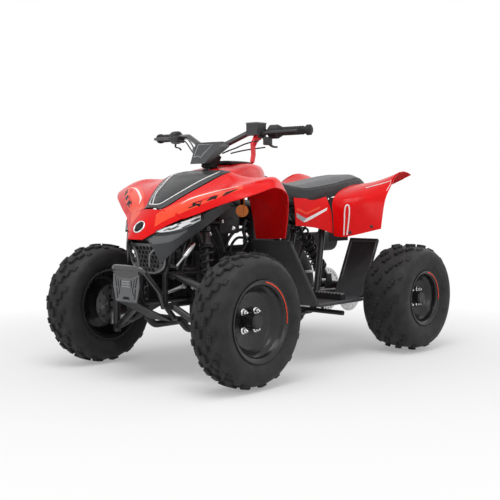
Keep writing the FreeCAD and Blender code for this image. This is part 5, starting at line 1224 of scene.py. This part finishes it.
def seat_form():
    columns = []
    for x, hem, flank, shoulder, middle in SEAT_STATIONS:
        floor = max(middle - SEAT_DEPTH, hem[1])
        half = [(hem[0] * 0.45, floor), (hem[0] * 0.88, floor), hem, flank, shoulder,
                (shoulder[0] / 2, middle), (0, middle)]
        full = half + [(-y, z) for y, z in half[-2::-1]]
        columns.append([Vector((x, y, z)) for y, z in full])
    lines = [smooth_line([column[n] for column in columns], 5) for n in range(len(columns[0]))]
    count = len(lines)
    steps = len(lines[0])
    verts = [line[step] for step in range(steps) for line in lines]
    faces = []
    for step in range(steps - 1):
        for n in range(count):
            after = (n + 1) % count
            a = step * count
            faces.append((a + n, a + after, a + count + after, a + count + n))
    faces.append(tuple(range(count)))
    faces.append(tuple(range((steps - 1) * count, steps * count)))
    return verts, faces


def baked(obj):
    """Put the modifiers' result into the mesh."""
    view = bpy.context.evaluated_depsgraph_get()
    mesh = bpy.data.meshes.new_from_object(obj.evaluated_get(view))
    obj.modifiers.clear()
    obj.data = mesh


def make_seat():
    verts, faces = seat_form()
    obj = piece("seat_cushion", verts, faces, [seat_side, seat_top], "chassis")
    outward(obj)
    remesh = obj.modifiers.new("even", "REMESH")
    remesh.mode = "VOXEL"
    remesh.voxel_size = SEAT_VOXEL
    ease = obj.modifiers.new("ease", "SMOOTH")
    ease.iterations = 4
    baked(obj)
    start = [v.co.copy() for v in obj.data.vertices]
    group = obj.vertex_groups.new(name="hem")
    group.add([v.index for v in obj.data.vertices if v.normal.z < -0.45], 1.0, "REPLACE")
    cloth = obj.modifiers.new("cover", "CLOTH")
    settings = cloth.settings
    settings.quality = 4
    settings.mass = 0.3
    settings.tension_stiffness = 8
    settings.compression_stiffness = 8
    settings.bending_stiffness = 1.5
    settings.use_pressure = True
    settings.uniform_pressure_force = 4
    settings.vertex_group_mass = "hem"
    settings.effector_weights.gravity = 0
    cloth.collision_settings.use_self_collision = False
    cloth.point_cache.frame_start = 1
    cloth.point_cache.frame_end = PUFF_FRAMES
    scene = bpy.context.scene
    for number in range(1, PUFF_FRAMES + 1):
        scene.frame_set(number)
    baked(obj)
    scene.frame_set(1)
    for vert, before in zip(obj.data.vertices, start):
        move = vert.co - before
        if move.length > PUFF_MOST:
            vert.co = before + move.normalized() * PUFF_MOST
    finer = obj.modifiers.new("finer", "SUBSURF")
    finer.levels = 1
    finer.render_levels = 1
    baked(obj)
    mesh = obj.data
    if len(mesh.materials) < 2:
        mesh.materials.clear()
        mesh.materials.append(seat_side)
        mesh.materials.append(seat_top)
    shoulders = [(x, shoulder[0]) for x, hem, flank, shoulder, middle in SEAT_STATIONS]

    def seam_y(x):
        for (x0, y0), (x1, y1) in zip(shoulders, shoulders[1:]):
            if x0 >= x >= x1:
                return (y0 + (y1 - y0) * (x0 - x) / (x0 - x1)) * 0.9
        return shoulders[0][1] * 0.9 if x > 0 else shoulders[-1][1] * 0.8

    for poly in mesh.polygons:
        top = poly.normal.z > 0.25 and abs(poly.center.y) < seam_y(poly.center.x)
        poly.material_index = 1 if top and poly.center.x > SEAT_BACK else 0
        poly.use_smooth = True
    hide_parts("seat")
    tree = BVHTree.FromPolygons([v.co.copy() for v in mesh.vertices],
                                [list(p.vertices) for p in mesh.polygons])
    seams = []
    for side in (1, -1):
        points = []
        for number in range(SEAM_POINTS):
            x = SEAM_FRONT - SEAM_LONG * number / (SEAM_POINTS - 1)
            hit = tree.ray_cast(Vector((x, seam_y(x) * side, 1)), DOWN)[0]
            if hit:
                points.append(hit)
        seams.append(tube_mesh(points, SEAM_RADIUS, 8))
    back = []
    for number in range(15):
        y = seam_y(SEAT_BACK) * (1 - 2 * number / 14)
        hit = tree.ray_cast(Vector((SEAT_BACK, y, 1)), DOWN)[0]
        if hit:
            back.append(hit)
    seams.append(tube_mesh(back, SEAM_RADIUS, 8))
    put("seat_piping", seams, thread, "chassis")


make_seat()


# Stage: a pale floor, a white surround and soft lamps


LIT_STRENGTH = 0.42
FLOOR_HALF = 14.0
FLOOR_WHITE = 0.9
# Name, place, power and width of each lamp, and the height that they look at
LAMPS = (("key", (1.2, 0.8, 3.4), 62, 2.2), ("near", (0.6, 3.6, 1.5), 15, 1.6),
         ("front", (3.8, -0.6, 1.6), 14, 1.6), ("back", (-3.2, 0.8, 2.6), 16, 2.0))
LAMPS_AIM = Vector((0, 0, 0.4))


def math_node(tree, operation, first, second):
    node = tree.nodes.new("ShaderNodeMath")
    node.operation = operation
    link(tree, first, node.inputs[0])
    link(tree, second, node.inputs[1])
    return node.outputs[0]


def stage():
    world = bpy.data.worlds.new("surround")
    bpy.context.scene.world = world
    world.use_nodes = True
    tree = world.node_tree
    tree.nodes.clear()
    out = tree.nodes.new("ShaderNodeOutputWorld")
    seen = tree.nodes.new("ShaderNodeBackground")
    seen.inputs["Color"].default_value = rgb(1, 1, 1)
    seen.inputs["Strength"].default_value = 1.0
    lit = tree.nodes.new("ShaderNodeBackground")
    lit.inputs["Color"].default_value = rgb(1, 1, 1)
    lit.inputs["Strength"].default_value = LIT_STRENGTH
    path = tree.nodes.new("ShaderNodeLightPath")
    most = math_node(tree, "MAXIMUM", path.outputs["Is Camera Ray"], path.outputs["Is Glossy Ray"])
    most = math_node(tree, "MAXIMUM", most, path.outputs["Is Transmission Ray"])
    mix = tree.nodes.new("ShaderNodeMixShader")
    link(tree, most, mix.inputs["Fac"])
    link(tree, lit.outputs[0], mix.inputs[1])
    link(tree, seen.outputs[0], mix.inputs[2])
    link(tree, mix.outputs[0], out.inputs["Surface"])

    mesh = bpy.data.meshes.new("floor")
    mesh.from_pydata([(x * FLOOR_HALF, y * FLOOR_HALF, 0)
                      for x, y in ((-1, -1), (1, -1), (1, 1), (-1, 1))], [], [(0, 1, 2, 3)])
    floor = bpy.data.objects.new("floor", mesh)
    floor.location.z = -0.5 * MM
    bpy.context.scene.collection.objects.link(floor)
    look = bpy.data.materials.new("floor_white")
    look.use_nodes = True
    tree = look.node_tree
    tree.nodes.clear()
    out = tree.nodes.new("ShaderNodeOutputMaterial")
    matte = tree.nodes.new("ShaderNodeBsdfDiffuse")
    matte.inputs["Color"].default_value = rgb(FLOOR_WHITE, FLOOR_WHITE, FLOOR_WHITE)
    glow = tree.nodes.new("ShaderNodeEmission")
    glow.inputs["Color"].default_value = rgb(1, 1, 1)
    path = tree.nodes.new("ShaderNodeLightPath")
    most = math_node(tree, "MAXIMUM", path.outputs["Is Camera Ray"], path.outputs["Is Glossy Ray"])
    # Near the vehicle the floor keeps a soft shadow, and further out it is plain white
    place = tree.nodes.new("ShaderNodeTexCoord")
    reach = tree.nodes.new("ShaderNodeVectorMath")
    reach.operation = "LENGTH"
    link(tree, place.outputs["Object"], reach.inputs[0])
    share = math_node(tree, "MULTIPLY", most,
                      remap(tree, reach.outputs["Value"], 0.3, 1.0, 0.7, 2.0))
    mix = tree.nodes.new("ShaderNodeMixShader")
    link(tree, share, mix.inputs["Fac"])
    link(tree, matte.outputs[0], mix.inputs[1])
    link(tree, glow.outputs[0], mix.inputs[2])
    link(tree, mix.outputs[0], out.inputs["Surface"])
    mesh.materials.append(look)

    for label, at, power, width in LAMPS:
        data = bpy.data.lights.new(label, "AREA")
        data.energy = power
        data.size = width
        lamp = bpy.data.objects.new(label, data)
        lamp.location = at
        lamp.rotation_mode = "QUATERNION"
        lamp.rotation_quaternion = (LAMPS_AIM - Vector(at)).to_track_quat("-Z", "Y")
        bpy.context.scene.collection.objects.link(lamp)


stage()
bpy.context.scene.view_settings.view_transform = "Standard"
